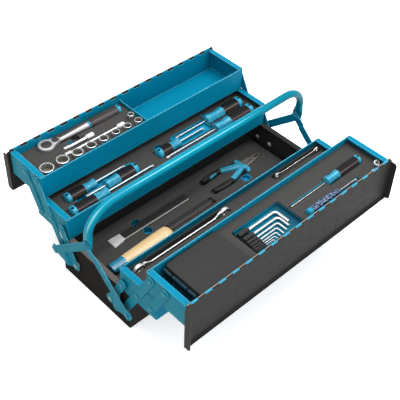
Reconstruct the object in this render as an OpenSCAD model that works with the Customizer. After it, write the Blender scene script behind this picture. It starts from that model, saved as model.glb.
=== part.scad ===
// Five-compartment cantilever tool box in folded sheet steel, stocked with hand tools in foam inlays.
// Frame: X along the box, -Y the front stack, +Y the back stack, Z up; origin on the floor under the middle.
// It is drawn open: each tray stands on its links, the lids hang down outside and the handle leans a little.

/* [Sheet metal] */
// length of base and trays over their end walls
body_l = 530; // [380:5:680]
// height of the base
base_h = 95; // [70:1:140]
// depth of one tray, front to back
tray_d = 98.5; // [80:0.5:130]
// height of one tray
tray_h = 51.7; // [42:0.1:75]
// sheet thickness
sheet_t = 1; // [0.8:0.1:1.5]
// corner radius of base and trays
corner_r = 3; // [2:0.5:6]
// flange folded in along the top of each end wall
flange_w = 10; // [6:0.5:16]
// hem folded down inside the long walls
hem_h = 5; // [3:0.5:9]
// gap between the two stacks with the box closed
stack_gap = 4; // [3:0.5:8]
// air between a tray and the one above it with the box closed
tray_gap = 1.9; // [1:0.1:4]
// air between the base and the middle trays with the box closed
base_gap = 0.5; // [0.3:0.1:2]
// how far the base walls sit inside the closed trays
base_inset = 1; // [0:0.5:3]

/* [Linkage] */
// outward lean of each link with the box open
lean_open = 36; // [28:0.5:44]
// inward lean of each link with the box closed
lean_closed = 37.3; // [30:0.1:44]
// first pivot of a middle tray from its inner wall
pin_in = 12.75; // [10:0.25:18]
// middle tray pivots above its floor
mid_pin_up = 21.7; // [16:0.1:26]
// top tray pivots below its upper edge
top_pin_down = 14.7; // [14:0.1:20]
// width of links, cranks and arms
link_w = 17; // [14:0.5:20]
// thickness of links, cranks and arms
link_t = 1.8; // [1.5:0.1:2.2]
// link end beyond its pivot
link_over = 10.5; // [9:0.5:12]
// corner radius of a link end
link_r = 6.5; // [3:0.5:7]
// crank ear outward of the crank's base pivot
ear_out = 54.25; // [50:0.25:58]
// crank ear above the crank's base pivot
ear_up = 7.2; // [2:0.1:10]
// where the crank web starts to bend outwards, from the crank's middle line
ear_bend = 9.5; // [9:0.5:12]
// length of that bend
ear_ramp = 7.5; // [6:0.5:10]
// handle arm between its pivots
arm_l = 143; // [138:0.5:150]
// joggle of the front arms, from the handle pivot
arm_joggle = 24; // [20:0.5:32]

/* [Rivets] */
// rivet shank
pin_d = 6; // [5:0.1:7]
// rivet head
head_d = 10; // [8:0.1:11]
// height of a rivet head
head_h = 1.5; // [1:0.1:1.7]
// running fit of a link on its rivet, on the radius
run_fit = 0.05; // [0.02:0.01:0.1]
// air between neighbouring plates
plate_gap = 0.2; // [0.1:0.05:0.3]
// air between an end wall and the inner links
wall_gap = 0.5; // [0.3:0.05:0.8]

/* [Lids] */
// hinge segments along one lid
knuckle_n = 17; // [11:2:21]
// hinge wire
wire_d = 2.4; // [2:0.1:3]
// gap between neighbouring knuckles
knuckle_gap = 0.5; // [0.3:0.1:1]
// depth of the lid's end flanges
lid_flange = 14; // [8:0.5:20]
// depth of the lid's free edge flange
lid_lip = 5; // [3:0.5:8]
// air between lid and tray edge
lid_gap = 0.3; // [0.3:0.1:1]
// air between a lid's end flange and the link rivets
lid_side_gap = 0.5; // [0.3:0.1:1]

/* [Handle] */
// handle tube
tube_d = 16; // [14:0.5:19]
// wall of the handle tube
tube_t = 1.5; // [1.2:0.1:2]
// grip above the handle pivot, middle of the tube
grip_up = 87; // [80:1:100]
// bend radius of the tube's middle line
bend_r = 58; // [45:1:62]
// width of the flattened leg
leg_w = 24; // [20:0.5:26]
// thickness of the flattened leg
leg_t = 2.8; // [2.6:0.1:3.2]
// handle lean towards the front
handle_lean = 5.8; // [0:0.1:12]

/* [Foam inlays] */
// base foam height
base_foam_h = 42; // [30:1:42]
// foam height in the trays
tray_foam_h = 36; // [28:0.5:40]
// air between foam and walls
foam_gap = 0.3; // [0.3:0.1:1]
// room at the foam ends for the rivet heads
foam_end = 2.5; // [2:0.1:4]
// end of the base foam short of the right wall
foam_short = 14; // [2:1:30]
// place of the tray divider along the box
divider_x = -1.5; // [-60:0.5:60]
// height of the divider
divider_h = 44; // [30:1:48]
// clearance of a tool in its pocket
tool_gap = 0.3; // [0.3:0.1:1]

/* [Hidden] */
$fn = 32;

blue = [0.02, 0.47, 0.62];
black = [0.13, 0.13, 0.13];
foam_c = [0.27, 0.26, 0.25];
steel = [0.75, 0.75, 0.76];
wood_c = [0.85, 0.68, 0.45];

// linkage worked out from the closed box
base_d = 2 * tray_d + stack_gap - 2 * base_inset;
pitch = tray_d / 2 - pin_in;
top_pin_up = tray_h - top_pin_down;
rise_closed = tray_h + tray_gap + top_pin_up - mid_pin_up;
link_l = norm([lean_closed, rise_closed]);
rise_open = sqrt(pow(link_l, 2) - pow(lean_open, 2));
travel = lean_open + lean_closed;
pin_z = base_h + base_gap - rise_closed + mid_pin_up;
b1 = [stack_gap / 2 + pin_in + lean_closed, pin_z];
b2 = b1 + [pitch, 0];
up = [lean_open, rise_open];
m1 = b1 + up;
m2 = b2 + up;
m3 = m2 + [pitch, 0];
t1 = m2 + up;
t2 = m3 + up;
ear = b1 + [ear_out, ear_up];
pivot_z = ear[1] + sqrt(pow(arm_l, 2) - pow(ear[0], 2));
grip_z = pivot_z + grip_up;
mid_y = m1[0] - pin_in;
mid_z = m1[1] - mid_pin_up;
top_y = mid_y + travel;
top_z = t1[1] - top_pin_up;

// layers outwards from an end wall
wall_x = body_l / 2;
link_x = wall_x + wall_gap;
crank_x = link_x + link_t + plate_gap + head_h + 0.3;
lid_x = link_x + link_t + plate_gap + head_h + lid_side_gap;
ear_x = lid_x + sheet_t + 3.5;
arm_x = ear_x + link_t + plate_gap;
over_x = arm_x + link_t + plate_gap;
leg_in_x = arm_x - plate_gap - leg_t;
leg_out_x = over_x + link_t + plate_gap;

// hinge
ring_in = wire_d / 2 + run_fit;
ring_out = ring_in + sheet_t;
hinge_y = tray_d + ring_out - sheet_t;
hinge_z = tray_h + lid_gap + ring_out;
lid_l = hinge_y + stack_gap / 2 - 0.4;
period = body_l / knuckle_n;
knuckle_l = period / 2 - knuckle_gap;
lid_edge = hinge_y - tray_d + sheet_t + 0.4;
bead_x = wall_x - 2 * sheet_t - flange_w - 1;

// foam levels
base_foam_z = sheet_t + base_foam_h;
tray_foam_z = sheet_t + tray_foam_h;

// the tools are spread over the box: their places and lengths follow its length and depth
along = body_l / 530;
across = tray_d / 98.5;

// ---- helpers ----

module rrect(l, d, r) {
    square([l - 2 * r, d], center = true);
    square([l, d - 2 * r], center = true);
    for (x = [-1, 1], y = [-1, 1])
        translate([x * (l / 2 - r), y * (d / 2 - r)])
            circle(r = r);
}

// a profile drawn as [Y, Z], carried along X from x0
module along_x(x0, l) {
    translate([x0, 0, 0])
        rotate([90, 0, 90])
            linear_extrude(l)
                children();
}

module both_ends() {
    children();
    mirror([1, 0, 0])
        children();
}

module front() {
    mirror([0, 1, 0])
        children();
}

// local Z runs outwards from the middle of the box, at height and depth p
module pin_at(p) {
    translate([0, p[0], p[1]])
        rotate([0, 90, 0])
            children();
}

module bar2d(a, b, w, over, r) {
    d = b - a;
    translate((a + b) / 2)
        rotate(atan2(d[1], d[0]))
            rrect(norm(d) + 2 * over, w, r);
}

module bore2d(p) {
    translate(p)
        circle(d = pin_d + 2 * run_fit);
}

// domed heads at both ends of a shank, with a collar between c0 and c1
module rivet(z0, z1, c0 = 0, c1 = 0) {
    rotate_extrude()
        polygon(concat(
            [[0, z0 - head_h], [head_d * 0.28, z0 - head_h], [head_d * 0.43, z0 - head_h * 0.7]],
            [[head_d / 2, z0 - head_h * 0.3], [head_d / 2, z0], [pin_d / 2, z0]],
            c1 > c0 ? [[pin_d / 2, c0], [head_d / 2, c0], [head_d / 2, c1], [pin_d / 2, c1]] : [],
            [[pin_d / 2, z1], [head_d / 2, z1], [head_d / 2, z1 + head_h * 0.3]],
            [[head_d * 0.43, z1 + head_h * 0.7], [head_d * 0.28, z1 + head_h], [0, z1 + head_h]]
        ));
}

// ---- sheet metal ----

module pan(l, d, h) {
    difference() {
        linear_extrude(h)
            rrect(l, d, corner_r);
        translate([0, 0, sheet_t])
            linear_extrude(h)
                rrect(l - 2 * sheet_t, d - 2 * sheet_t, corner_r - sheet_t);
    }
}

module end_flanges(l, d, h) {
    for (e = [-1, 1])
        translate([e * (l / 2 - sheet_t - flange_w / 2), 0, h - sheet_t / 2])
            cube([flange_w + sheet_t, d - 2 * corner_r, sheet_t], center = true);
}

// hem along one long wall, on the side given by s
module hem(l, d, h, s) {
    translate([0, s * (d / 2 - 1.25 * sheet_t), h - hem_h / 2])
        cube([l - 2 * flange_w - 4 * sheet_t, 1.5 * sheet_t, hem_h], center = true);
}

module wall_bores(ps) {
    for (p = ps)
        translate([-body_l, p[0], p[1]])
            rotate([0, 90, 0])
                cylinder(d = pin_d, h = 2 * body_l);
}

module base_shell() {
    color(black)
        difference() {
            union() {
                pan(body_l, base_d, base_h);
                end_flanges(body_l, base_d, base_h);
                hem(body_l, base_d, base_h, 1);
                hem(body_l, base_d, base_h, -1);
            }
            wall_bores([b1, b2, [-b1[0], b1[1]], [-b2[0], b2[1]]]);
        }
}

module middle_tray() {
    difference() {
        translate([0, mid_y + tray_d / 2, mid_z]) {
            pan(body_l, tray_d, tray_h);
            end_flanges(body_l, tray_d, tray_h);
            hem(body_l, tray_d, tray_h, 1);
            hem(body_l, tray_d, tray_h, -1);
        }
        wall_bores([m1, m2, m3]);
    }
}

// rolled knuckle, drawn about the hinge wire; the sheet comes in along side s
module ring2d(s) {
    difference() {
        union() {
            circle(r = ring_out);
            if (s == 0)
                translate([-ring_out, -ring_out - lid_gap - 0.5])
                    square([sheet_t, ring_out + lid_gap + 0.5]);
            else
                translate([-lid_edge - 0.5, -ring_out])
                    square([lid_edge + 0.5, sheet_t]);
        }
        circle(r = ring_in);
    }
}

module top_tray() {
    difference() {
        translate([0, top_y, top_z]) {
            translate([0, tray_d / 2, 0]) {
                pan(body_l, tray_d, tray_h);
                end_flanges(body_l, tray_d, tray_h);
                hem(body_l, tray_d, tray_h, -1);
            }
            for (i = [0 : knuckle_n - 1])
                translate([0, hinge_y, hinge_z])
                    along_x((i + 0.5) * period - body_l / 2 - knuckle_l / 2, knuckle_l)
                        ring2d(0);
        }
        wall_bores([t1, t2]);
    }
}

module hinge_wire() {
    translate([-body_l / 2 + 1, top_y + hinge_y, top_z + hinge_z])
        rotate([0, 90, 0])
            cylinder(d = wire_d, h = body_l - 2);
}

// end flange of a lid, seen along X: depth below the plate against distance from the hinge
module lid_flange2d() {
    r = lid_flange / 2;
    d = lid_flange;
    difference() {
        union() {
            translate([-lid_l, -d])
                square([lid_l - 8, d]);
        }
        translate([-lid_l, -d])
            difference() {
                square(2 * r, center = true);
                translate([r, r])
                    circle(r = r);
            }
        translate([-8, -d])
            difference() {
                square(2 * r, center = true);
                translate([-r, r])
                    circle(r = r);
            }
    }
}

// a lid in its closed place about the hinge wire, inward along -Y
module lid_closed() {
    plate_z = -ring_out;
    translate([-lid_x - sheet_t, -lid_l, plate_z])
        cube([2 * (lid_x + sheet_t), lid_l - lid_edge, sheet_t]);
    translate([-lid_x, -lid_l, plate_z - lid_lip])
        cube([2 * lid_x, sheet_t, lid_lip + sheet_t / 2]);
    // stiffening bead along the free edge, clear of the tray's end flanges
    translate([-bead_x, -lid_l + 9, plate_z + 0.2])
        rotate([0, 90, 0])
            cylinder(r = 1, h = 2 * bead_x);
    both_ends()
        translate([0, 0, plate_z + sheet_t / 2])
            along_x(lid_x, sheet_t)
                lid_flange2d();
    for (i = [0 : knuckle_n])
        along_x(max(i * period - knuckle_l / 2, 0) - body_l / 2,
                i == 0 || i == knuckle_n ? knuckle_l / 2 : knuckle_l)
            ring2d(1);
}

module lid() {
    translate([0, top_y + hinge_y, top_z + hinge_z])
        rotate([90, 0, 0])
            lid_closed();
}

module front_middle_tray() {
    color(blue) front() middle_tray();
}

module back_middle_tray() {
    color(blue) middle_tray();
}

module front_top_tray() {
    color(blue) front() top_tray();
}

module back_top_tray() {
    color(blue) top_tray();
}

module front_lid() {
    color(black) front() lid();
}

module back_lid() {
    color(black) lid();
}

module front_hinge_wire() {
    color(steel) front() hinge_wire();
}

module back_hinge_wire() {
    color(steel) hinge_wire();
}

// ---- rivets ----

module base_rivets() {
    color(steel)
        both_ends()
            for (s = [-1, 1]) {
                pin_at([s * b1[0], b1[1]])
                    rivet(wall_x - sheet_t, crank_x + link_t + plate_gap, wall_x, crank_x - plate_gap);
                pin_at([s * b2[0], b2[1]])
                    rivet(wall_x - sheet_t, link_x + link_t + plate_gap);
            }
}

module middle_rivets() {
    both_ends() {
        pin_at(m1)
            rivet(wall_x - sheet_t, crank_x + link_t + plate_gap, wall_x, crank_x - plate_gap);
        for (p = [m2, m3])
            pin_at(p)
                rivet(wall_x - sheet_t, link_x + link_t + plate_gap);
    }
}

module top_rivets() {
    both_ends()
        for (p = [t1, t2])
            pin_at(p)
                rivet(wall_x - sheet_t, link_x + link_t + plate_gap);
}

module front_middle_rivets() {
    color(blue) front() middle_rivets();
}

module back_middle_rivets() {
    color(blue) middle_rivets();
}

module front_top_rivets() {
    color(blue) front() top_rivets();
}

module back_top_rivets() {
    color(blue) top_rivets();
}

// ---- links ----

module link(a, b, bores) {
    along_x(link_x, link_t)
        difference() {
            bar2d(a, b, link_w, link_over, link_r);
            for (p = bores)
                bore2d(p);
        }
}

module long_links() {
    both_ends()
        link(b2, t1, [b2, m2, t1]);
}

module short_links() {
    both_ends()
        link(m3, t2, [m3, t2]);
}

// outline of the crank: a bar between the pivots, with a web that runs out to the ear
module crank2d() {
    difference() {
        union() {
            bar2d(b1, m1, link_w, link_over, link_r);
            bar2d(b1, ear, link_w, link_over, link_r);
            translate(b1 + [0.4 * ear_out, 0.15 * ear_up])
                circle(r = link_w * 0.62);
            polygon([b1, ear, ear + [-3, link_w / 2], b1 + 0.55 * up]);
        }
        for (p = [b1, m1, ear])
            bore2d(p);
    }
}

// bent strip that the crank's outline is cut from: flat along the bar, joggled out to the ear
module crank_sheet() {
    far = ear_out + link_w;
    x0 = crank_x;
    x1 = ear_x;
    translate([0, b1[0], b1[1]])
        rotate([atan2(up[1], up[0]) - 90, 0, 0])
            translate([0, 0, -link_l])
                linear_extrude(3 * link_l)
                    polygon([
                        [x0, -far], [x0, ear_bend], [x1, ear_bend + ear_ramp], [x1, far],
                        [x1 + link_t, far], [x1 + link_t, ear_bend + ear_ramp],
                        [x0 + link_t, ear_bend], [x0 + link_t, -far]
                    ]);
}

module cranks() {
    both_ends()
        intersection() {
            along_x(crank_x - 1, ear_x - crank_x + link_t + 2)
                crank2d();
            crank_sheet();
        }
}

// inner half of the ear rivet, flush with the ear
module crank_studs() {
    both_ends()
        pin_at(ear)
            rotate_extrude()
                polygon([
                    [0, ear_x - head_h], [head_d * 0.4, ear_x - head_h], [head_d / 2, ear_x - head_h / 2],
                    [head_d / 2, ear_x], [pin_d / 2, ear_x], [pin_d / 2, ear_x + link_t],
                    [0, ear_x + link_t]
                ]);
}

module front_long_links() {
    color(blue) front() long_links();
}

module back_long_links() {
    color(blue) long_links();
}

module front_short_links() {
    color(blue) front() short_links();
}

module back_short_links() {
    color(blue) short_links();
}

module front_cranks() {
    color(blue) front() cranks();
}

module back_cranks() {
    color(blue) cranks();
}

module front_crank_studs() {
    color(steel) front() crank_studs();
}

module back_crank_studs() {
    color(steel) crank_studs();
}

// ---- handle and arms ----

// arm drawn along +X from the handle pivot, flat on Z; lift joggles the pivot end outwards
module arm_flat(lift) {
    intersection() {
        linear_extrude(2 * link_t + lift + 2)
            difference() {
                bar2d([0, 0], [arm_l, 0], link_w, link_over, link_r);
                bore2d([0, 0]);
                bore2d([arm_l, 0]);
            }
        rotate([90, 0, 0])
            linear_extrude(2 * link_w, center = true)
                polygon(lift > 0 ? [
                    [-link_w, lift], [arm_joggle - lift, lift], [arm_joggle + lift, 0],
                    [arm_l + link_w, 0], [arm_l + link_w, link_t], [arm_joggle + lift, link_t],
                    [arm_joggle - lift, lift + link_t], [-link_w, lift + link_t]
                ] : [
                    [-link_w, 0], [arm_l + link_w, 0], [arm_l + link_w, link_t], [-link_w, link_t]
                ]);
    }
}

module arms(lift) {
    both_ends()
        translate([arm_x, 0, pivot_z])
            rotate([90, 0, 90])
                rotate([0, 0, -asin((pivot_z - ear[1]) / arm_l)])
                    arm_flat(lift);
}

// outer half of the ear rivet, flush with the arm's inner face
module arm_rivets() {
    both_ends()
        pin_at(ear)
            rotate_extrude()
                polygon([
                    [0, arm_x], [pin_d / 2, arm_x], [pin_d / 2, arm_x + link_t],
                    [head_d / 2, arm_x + link_t], [head_d / 2, arm_x + link_t + head_h * 0.3],
                    [head_d * 0.28, arm_x + link_t + head_h], [0, arm_x + link_t + head_h]
                ]);
}

module front_arms() {
    color(blue) front() arms(link_t + plate_gap);
}

module back_arms() {
    color(blue) arms(0);
}

module front_arm_rivets() {
    color(blue) front() arm_rivets();
}

module back_arm_rivets() {
    color(blue) arm_rivets();
}

// the left leg lies inside the arms and the right leg outside them
module handle_rivets() {
    color(steel) {
        mirror([1, 0, 0])
            pin_at([0, pivot_z])
                rivet(leg_in_x - plate_gap, over_x + link_t + plate_gap);
        pin_at([0, pivot_z])
            rivet(arm_x - plate_gap, leg_out_x + leg_t + plate_gap);
    }
}

module ring_tube2d() {
    difference() {
        circle(d = tube_d);
        circle(d = tube_d - 2 * tube_t);
    }
}

// flattened leg about the handle pivot, its middle on x = 0
module leg() {
    low = norm([link_over, link_w / 2]) + 1;
    difference() {
        union() {
            rotate([90, 0, 90])
                linear_extrude(leg_t, center = true) {
                    circle(d = leg_w);
                    translate([-leg_w / 2, 0])
                        square([leg_w, low + 0.5]);
                }
            hull() {
                translate([0, 0, low])
                    linear_extrude(0.2)
                        rrect(leg_t, leg_w, leg_t / 2 - 0.1);
                translate([0, 0, grip_up - bend_r - 0.2])
                    linear_extrude(0.2)
                        circle(d = tube_d);
            }
        }
        rotate([0, 90, 0])
            cylinder(d = pin_d + 2 * run_fit, h = 2 * leg_t, center = true);
    }
}

module bend(x) {
    translate([x, 0, grip_up - bend_r])
        rotate([90, 0, 0])
            rotate_extrude(angle = 90)
                translate([bend_r, 0])
                    ring_tube2d();
}

module handle() {
    xl = leg_in_x + leg_t / 2;
    xr = leg_out_x + leg_t / 2;
    color(blue)
        translate([0, 0, pivot_z])
            rotate([handle_lean, 0, 0]) {
                translate([-xl, 0, 0])
                    leg();
                translate([xr, 0, 0])
                    leg();
                bend(xr - bend_r);
                mirror([1, 0, 0])
                    bend(xl - bend_r);
                translate([-xl + bend_r, 0, grip_up])
                    rotate([0, 90, 0])
                        linear_extrude(xl + xr - 2 * bend_r)
                            ring_tube2d();
            }
}

// ---- foam inlays ----

module block(x0, x1, y0, y1, z0, z1, r = 2) {
    translate([(x0 + x1) / 2, (y0 + y1) / 2, z0])
        linear_extrude(z1 - z0)
            rrect(x1 - x0, y1 - y0, r);
}

// trough for a round tool lying along X at [y, z], open above
module trough(x0, x1, y, z, d) {
    w = d + 2 * tool_gap;
    translate([x0 - tool_gap, y, z])
        rotate([0, 90, 0])
            cylinder(d = w, h = x1 - x0 + 2 * tool_gap);
    translate([x0 - tool_gap, y - w / 2, z])
        cube([x1 - x0 + 2 * tool_gap, w, tray_h]);
}

module finger(x, y, z, r = 11) {
    translate([x, y, z])
        cylinder(r = r, h = tray_h);
}

module tray_foam() {
    y0 = sheet_t + foam_gap;
    x1 = body_l / 2 - sheet_t - foam_end;
    difference() {
        block(-x1, x1, y0, tray_d - y0, sheet_t, tray_foam_z);
        children();
    }
}

module in_middle() {
    translate([0, mid_y, mid_z])
        children();
}

module in_top() {
    translate([0, top_y, top_z])
        children();
}

module base_foam() {
    x0 = -wall_x + sheet_t + foam_end;
    x1 = wall_x - sheet_t - foam_short;
    y1 = base_d / 2 - sheet_t - foam_gap;
    z = base_foam_z;
    c = chisel;
    k = cape;
    color(foam_c)
        difference() {
            block(x0, x1, -y1, y1, sheet_t, z);
            block(wood_x - 3, wood_x + wood_l + 2, -wood_w / 2 - 1, wood_w / 2 + 1,
                  handle_z - wood_h / 2 - tool_gap, base_h);
            block(c[0] - chisel_blade - 2, c[0] + 0.5, c[1] - chisel_w / 2 - 4, c[1] + chisel_w / 2 + 4,
                  z - chisel_h + 4, base_h, 1);
            block(c[0], c[0] + c[2] + 2, c[1] - chisel_w / 2 - 0.5, c[1] + chisel_w / 2 + 0.5,
                  z - chisel_h + 4, base_h, 1);
            block(k[0] - 2, k[0] + k[2] + cape_h + 1, k[1] - cape_w / 2 - 0.5, k[1] + cape_w / 2 + 0.5,
                  z - cape_h + 5, base_h, 1);
            finger(-111 * along, c[1] + 11, z - 14);
            finger(-106 * along, (c[1] + wood_w / 2) / 2, z - 14, 9);
            finger(150 * along, 12 * across, z - 6, 9);
            translate([0, 0, z - 8])
                linear_extrude(base_h) {
                    grips2d(1);
                    jaws2d(1.2);
                }
        }
}

module front_middle_foam() {
    color(foam_c)
        front()
            in_middle()
                tray_foam() {
                    for (s = spanners)
                        block(s[0] - s[2] / 2 - 1, s[1] + s[2] / 2 + 1,
                              s[3] - 9, s[3] + 6, spanner_z - s[2] / 2 - tool_gap, tray_h, 3);
                }
}

module back_middle_foam() {
    color(foam_c)
        in_middle()
            tray_foam() {
                for (s = drivers) {
                    g = s[0] + s[1] * (s[3] + s[4]);
                    tip = g + s[1] * s[5];
                    z = driver_z(s[6]);
                    trough(min(s[0], g) - 0.5, max(s[0], g) + 0.5, s[2], z, s[6]);
                    block(min(g, tip) - 2, max(g, tip) + 2, s[2] - 4, s[2] + 4,
                          z - blade_d / 2 - 1, tray_h, 2);
                }
                block(44 * along, 134 * along, 31 * across, 64 * across, tray_foam_z - 5, tray_h, 6);
                block(-178 * along, -112 * along, 47 * across, 62 * across, tray_foam_z - 5, tray_h, 4);
                finger(6 * along, 56 * across, tray_foam_z - 10, 9);
                finger(-200 * along, 40 * across, tray_foam_z - 10, 11);
                finger(150 * along, 68 * across, tray_foam_z - 10, 9);
            }
}

module front_top_foam() {
    h = holder;
    color(foam_c)
        front()
            in_top()
                tray_foam() {
                    block(-body_l, case_x1 + 3, -5, tray_d + 5, case_z, tray_h);
                    block(h[0] - 2, h[1] + 2, h[2] - 1, h[3] + 1, hex_z, tray_h, 5);
                    trough(slim_x + slim_blade, slim_x + slim_blade + slim_l, slim_y, slim_z, slim_d);
                    block(slim_x - 3, slim_x + slim_blade + 1, slim_y - 3, slim_y + 3, slim_z - 2, tray_h, 1);
                    trough(tester_x, tester_x + tester_l, tester_y, slim_z, tester_d);
                    block(tester_x + tester_l - 2, tester_x + tester_l + tester_blade_l + 3,
                          tester_y - 3, tester_y + 3, slim_z - 3, tray_h, 1);
                    translate([bit_x, bit_y, tray_foam_z - bit_sunk])
                        cylinder(d = bit_d + 2 * tool_gap, h = tray_h);
                }
}

module back_top_foam() {
    color(foam_c)
        in_top()
            difference() {
                tray_foam() {
                    trough(ratchet_x + ratchet_neck, ratchet_x + ratchet_l, ratchet_y, ratchet_z, ratchet_d);
                    trough(ratchet_x + 10, ratchet_x + ratchet_neck + 1, ratchet_y, ratchet_z, ratchet_d - 4);
                    translate([ratchet_x, ratchet_y, ratchet_z - ratchet_t / 2 - tool_gap])
                        linear_extrude(tray_h)
                            ratchet_head2d(tool_gap);
                    trough(extension_x, extension_x + extension_l, extension_y, extension_z, extension_d);
                    trough(long_x, long_x + long_l, long_y, extension_z, long_d);
                    trough(long_x + long_l - 20, long_x + long_l, long_y, extension_z, extension_d);
                    finger(-138 * along, 66 * across, tray_foam_z - 10, 9);
                    for (s = sockets_at)
                        translate([s[0], s[1], socket_top - s[3]])
                            cylinder(d = s[2] + 2 * tool_gap, h = tray_h);
                }
                translate([divider_x - 2 * sheet_t - foam_gap, -1, -1])
                    cube([body_l, tray_d + 2, 2 * tray_h]);
            }
}

module tray_divider() {
    y0 = sheet_t + foam_gap;
    color(blue)
        in_top() {
            translate([divider_x - sheet_t, y0, sheet_t])
                cube([sheet_t, tray_d - 2 * y0, divider_h]);
            translate([divider_x - sheet_t / 2, y0, sheet_t])
                cube([flange_w, tray_d - 2 * y0, sheet_t]);
        }
}

// ---- tools in the base ----

wood_x = -227 * along;
wood_l = 151 * along;
wood_w = 33;
wood_h = 23;
handle_z = base_foam_z + 6;

// oval wooden handle: place along it as a share, then its width and height as shares
wood_form = [[0, 0.67, 0.65], [0.21, 0.76, 0.74], [0.57, 0.91, 0.87], [0.86, 1, 1], [0.95, 0.91, 0.91],
             [0.98, 0.78, 0.76], [1, 0.52, 0.5]];

module wood_handle() {
    color(wood_c)
        translate([wood_x, 0, handle_z])
            for (i = [0 : len(wood_form) - 2])
                hull()
                    for (p = [wood_form[i], wood_form[i + 1]])
                        translate([p[0] * wood_l, 0, 0])
                            rotate([90, 0, 90])
                                linear_extrude(0.01)
                                    scale([p[1] * wood_w / 20, p[2] * wood_h / 20])
                                        circle(d = 20, $fn = 20);
}

module octagon_bar(l, w, h) {
    c = 0.28 * min(w, h);
    rotate([90, 0, 90])
        linear_extrude(l)
            polygon([
                [-w / 2 + c, 0], [w / 2 - c, 0], [w / 2, c], [w / 2, h - c],
                [w / 2 - c, h], [-w / 2 + c, h], [-w / 2, h - c], [-w / 2, c]
            ]);
}

// chisel bodies: left end, middle line, length
chisel = [-156 * along, 54.3 * across, 170 * along];
chisel_w = 18.5;
chisel_h = 10;
chisel_blade = 27;
cape = [-72 * along, 12 * across, 112 * along];
cape_w = 17;
cape_h = 12;

// flat chisel: body along +X, blade spread towards the cutting edge
module flat_chisel() {
    w = chisel_w;
    color([0.2, 0.2, 0.21])
        translate([chisel[0], chisel[1], base_foam_z - chisel_h + 4]) {
            octagon_bar(chisel[2], w, chisel_h);
            hull() {
                translate([-0.01, -w / 2, 0.8])
                    cube([0.01, w, chisel_h - 1.6]);
                translate([-chisel_blade + 6, -w / 2 - 2.8, chisel_h / 2 - 2])
                    cube([0.1, w + 5.6, 4]);
            }
            hull() {
                translate([-chisel_blade + 6, -w / 2 - 2.8, chisel_h / 2 - 2])
                    cube([0.1, w + 5.6, 4]);
                translate([-chisel_blade, -w / 2 - 3, chisel_h / 2 - 0.3])
                    cube([0.1, w + 6, 0.6]);
            }
        }
}

module cape_chisel() {
    color([0.2, 0.2, 0.21])
        translate([cape[0], cape[1], base_foam_z - cape_h + 5]) {
            octagon_bar(cape[2], cape_w, cape_h);
            translate([cape[2], 0, cape_h / 2])
                rotate([0, 90, 0])
                    rotate_extrude()
                        polygon([
                            [0, 0], [cape_h / 2, 0], [cape_h / 2 - 0.6, 5],
                            [cape_h / 2 - 2, 9], [cape_h / 2 - 4, 10.5], [0, 10.5]
                        ]);
        }
}

// combination pliers: pivot, reach of the jaws and of the grips from it
plier_p = [172 * along, 48 * across];
jaw_l = 61 * along;
plier_w = 24;
plier_d = 21;
grip_w = 14;
// upper edge of one jaw and its shoulder: share of the reach, share of the width
jaw_form = [[-0.23, 0.04], [-0.15, 0.37], [0, 0.5], [0.18, 0.44], [0.33, 0.29], [0.66, 0.16], [1, 0.065]];
// middle lines of the two grips from the pivot
grip_lines = [[[-13, 9.5], [-48, 18.5], [-102, 15]], [[-13, -12], [-48, -23], [-102, -20.5]]];

function jaw_edge(g) = [for (p = jaw_form) [p[0] * jaw_l, p[1] * plier_w + g]];

function flip(v) = [for (i = [len(v) - 1 : -1 : 0]) [v[i][0], -v[i][1]]];

module jaws2d(g) {
    e = jaw_edge(g);
    translate(plier_p) {
        polygon(concat(e, [[jaw_l + g, g]], [[jaw_l + g, -g]], flip(e)));
        circle(d = plier_d + 2 * g);
    }
}

module plier_jaw() {
    polygon(concat(jaw_edge(0), [[jaw_l, 0.25], [2, 0.25]]));
}

module grips2d(g) {
    translate(plier_p)
        for (v = grip_lines)
            for (i = [0, 1])
                bar2d([v[i][0] * along, v[i][1]], [v[i + 1][0] * along, v[i + 1][1]],
                      grip_w + 2 * g, grip_w / 2 + g, grip_w / 2 + g - 0.1);
}

module pliers() {
    color([0.32, 0.31, 0.3])
        translate([0, 0, base_foam_z - 6]) {
            linear_extrude(9)
                difference() {
                    translate(plier_p) {
                        plier_jaw();
                        mirror([0, 1])
                            plier_jaw();
                        circle(d = plier_d);
                    }
                    translate(plier_p + [14.5, 0])
                        scale([1.6, 1])
                            circle(d = 4.5);
                }
            translate([plier_p[0], plier_p[1], 9])
                cylinder(d = 10, h = 1);
        }
}

// dipped grips, from the joint to their outer ends
module plier_grips() {
    color(black)
        translate([0, 0, base_foam_z - 8])
            linear_extrude(12)
                difference() {
                    grips2d(0);
                    translate(plier_p)
                        circle(r = plier_w * 0.6);
                }
}

// ---- tools in the middle trays ----

// ring spanners: ring centre to ring centre along X, ring diameter, depth in the tray
spanners = [[-232 * along, -21 * along, 25, 14 * across], [127 * along, 243 * along, 20, 14 * across]];
spanner_z = tray_foam_z - 2;

// one offset ring spanner lying on edge, the shank stepped over from the rings
module spanner(x0, x1, d) {
    t = 0.36 * d;
    w = 0.24 * d;
    difference() {
        union() {
            for (x = [x0, x1])
                translate([x, t / 2, 0])
                    rotate([90, 0, 0])
                        cylinder(d = d, h = t);
            translate([0, 0, -w + 1])
                linear_extrude(w)
                    polygon([
                        [x0 + 0.42 * d, -0.15 * d], [x0 + 1.3 * d, -0.35 * d], [x1 - 1.3 * d, -0.35 * d],
                        [x1 - 0.42 * d, -0.15 * d], [x1 - 0.42 * d, 0.15 * d], [x1 - 1.2 * d, -0.12 * d],
                        [x0 + 1.2 * d, -0.12 * d], [x0 + 0.42 * d, 0.15 * d]
                    ]);
        }
        for (x = [x0, x1])
            translate([x, d, 0])
                rotate([90, 0, 0])
                    cylinder(d = 0.68 * d, h = 2 * d, $fn = 12);
    }
}

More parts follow.
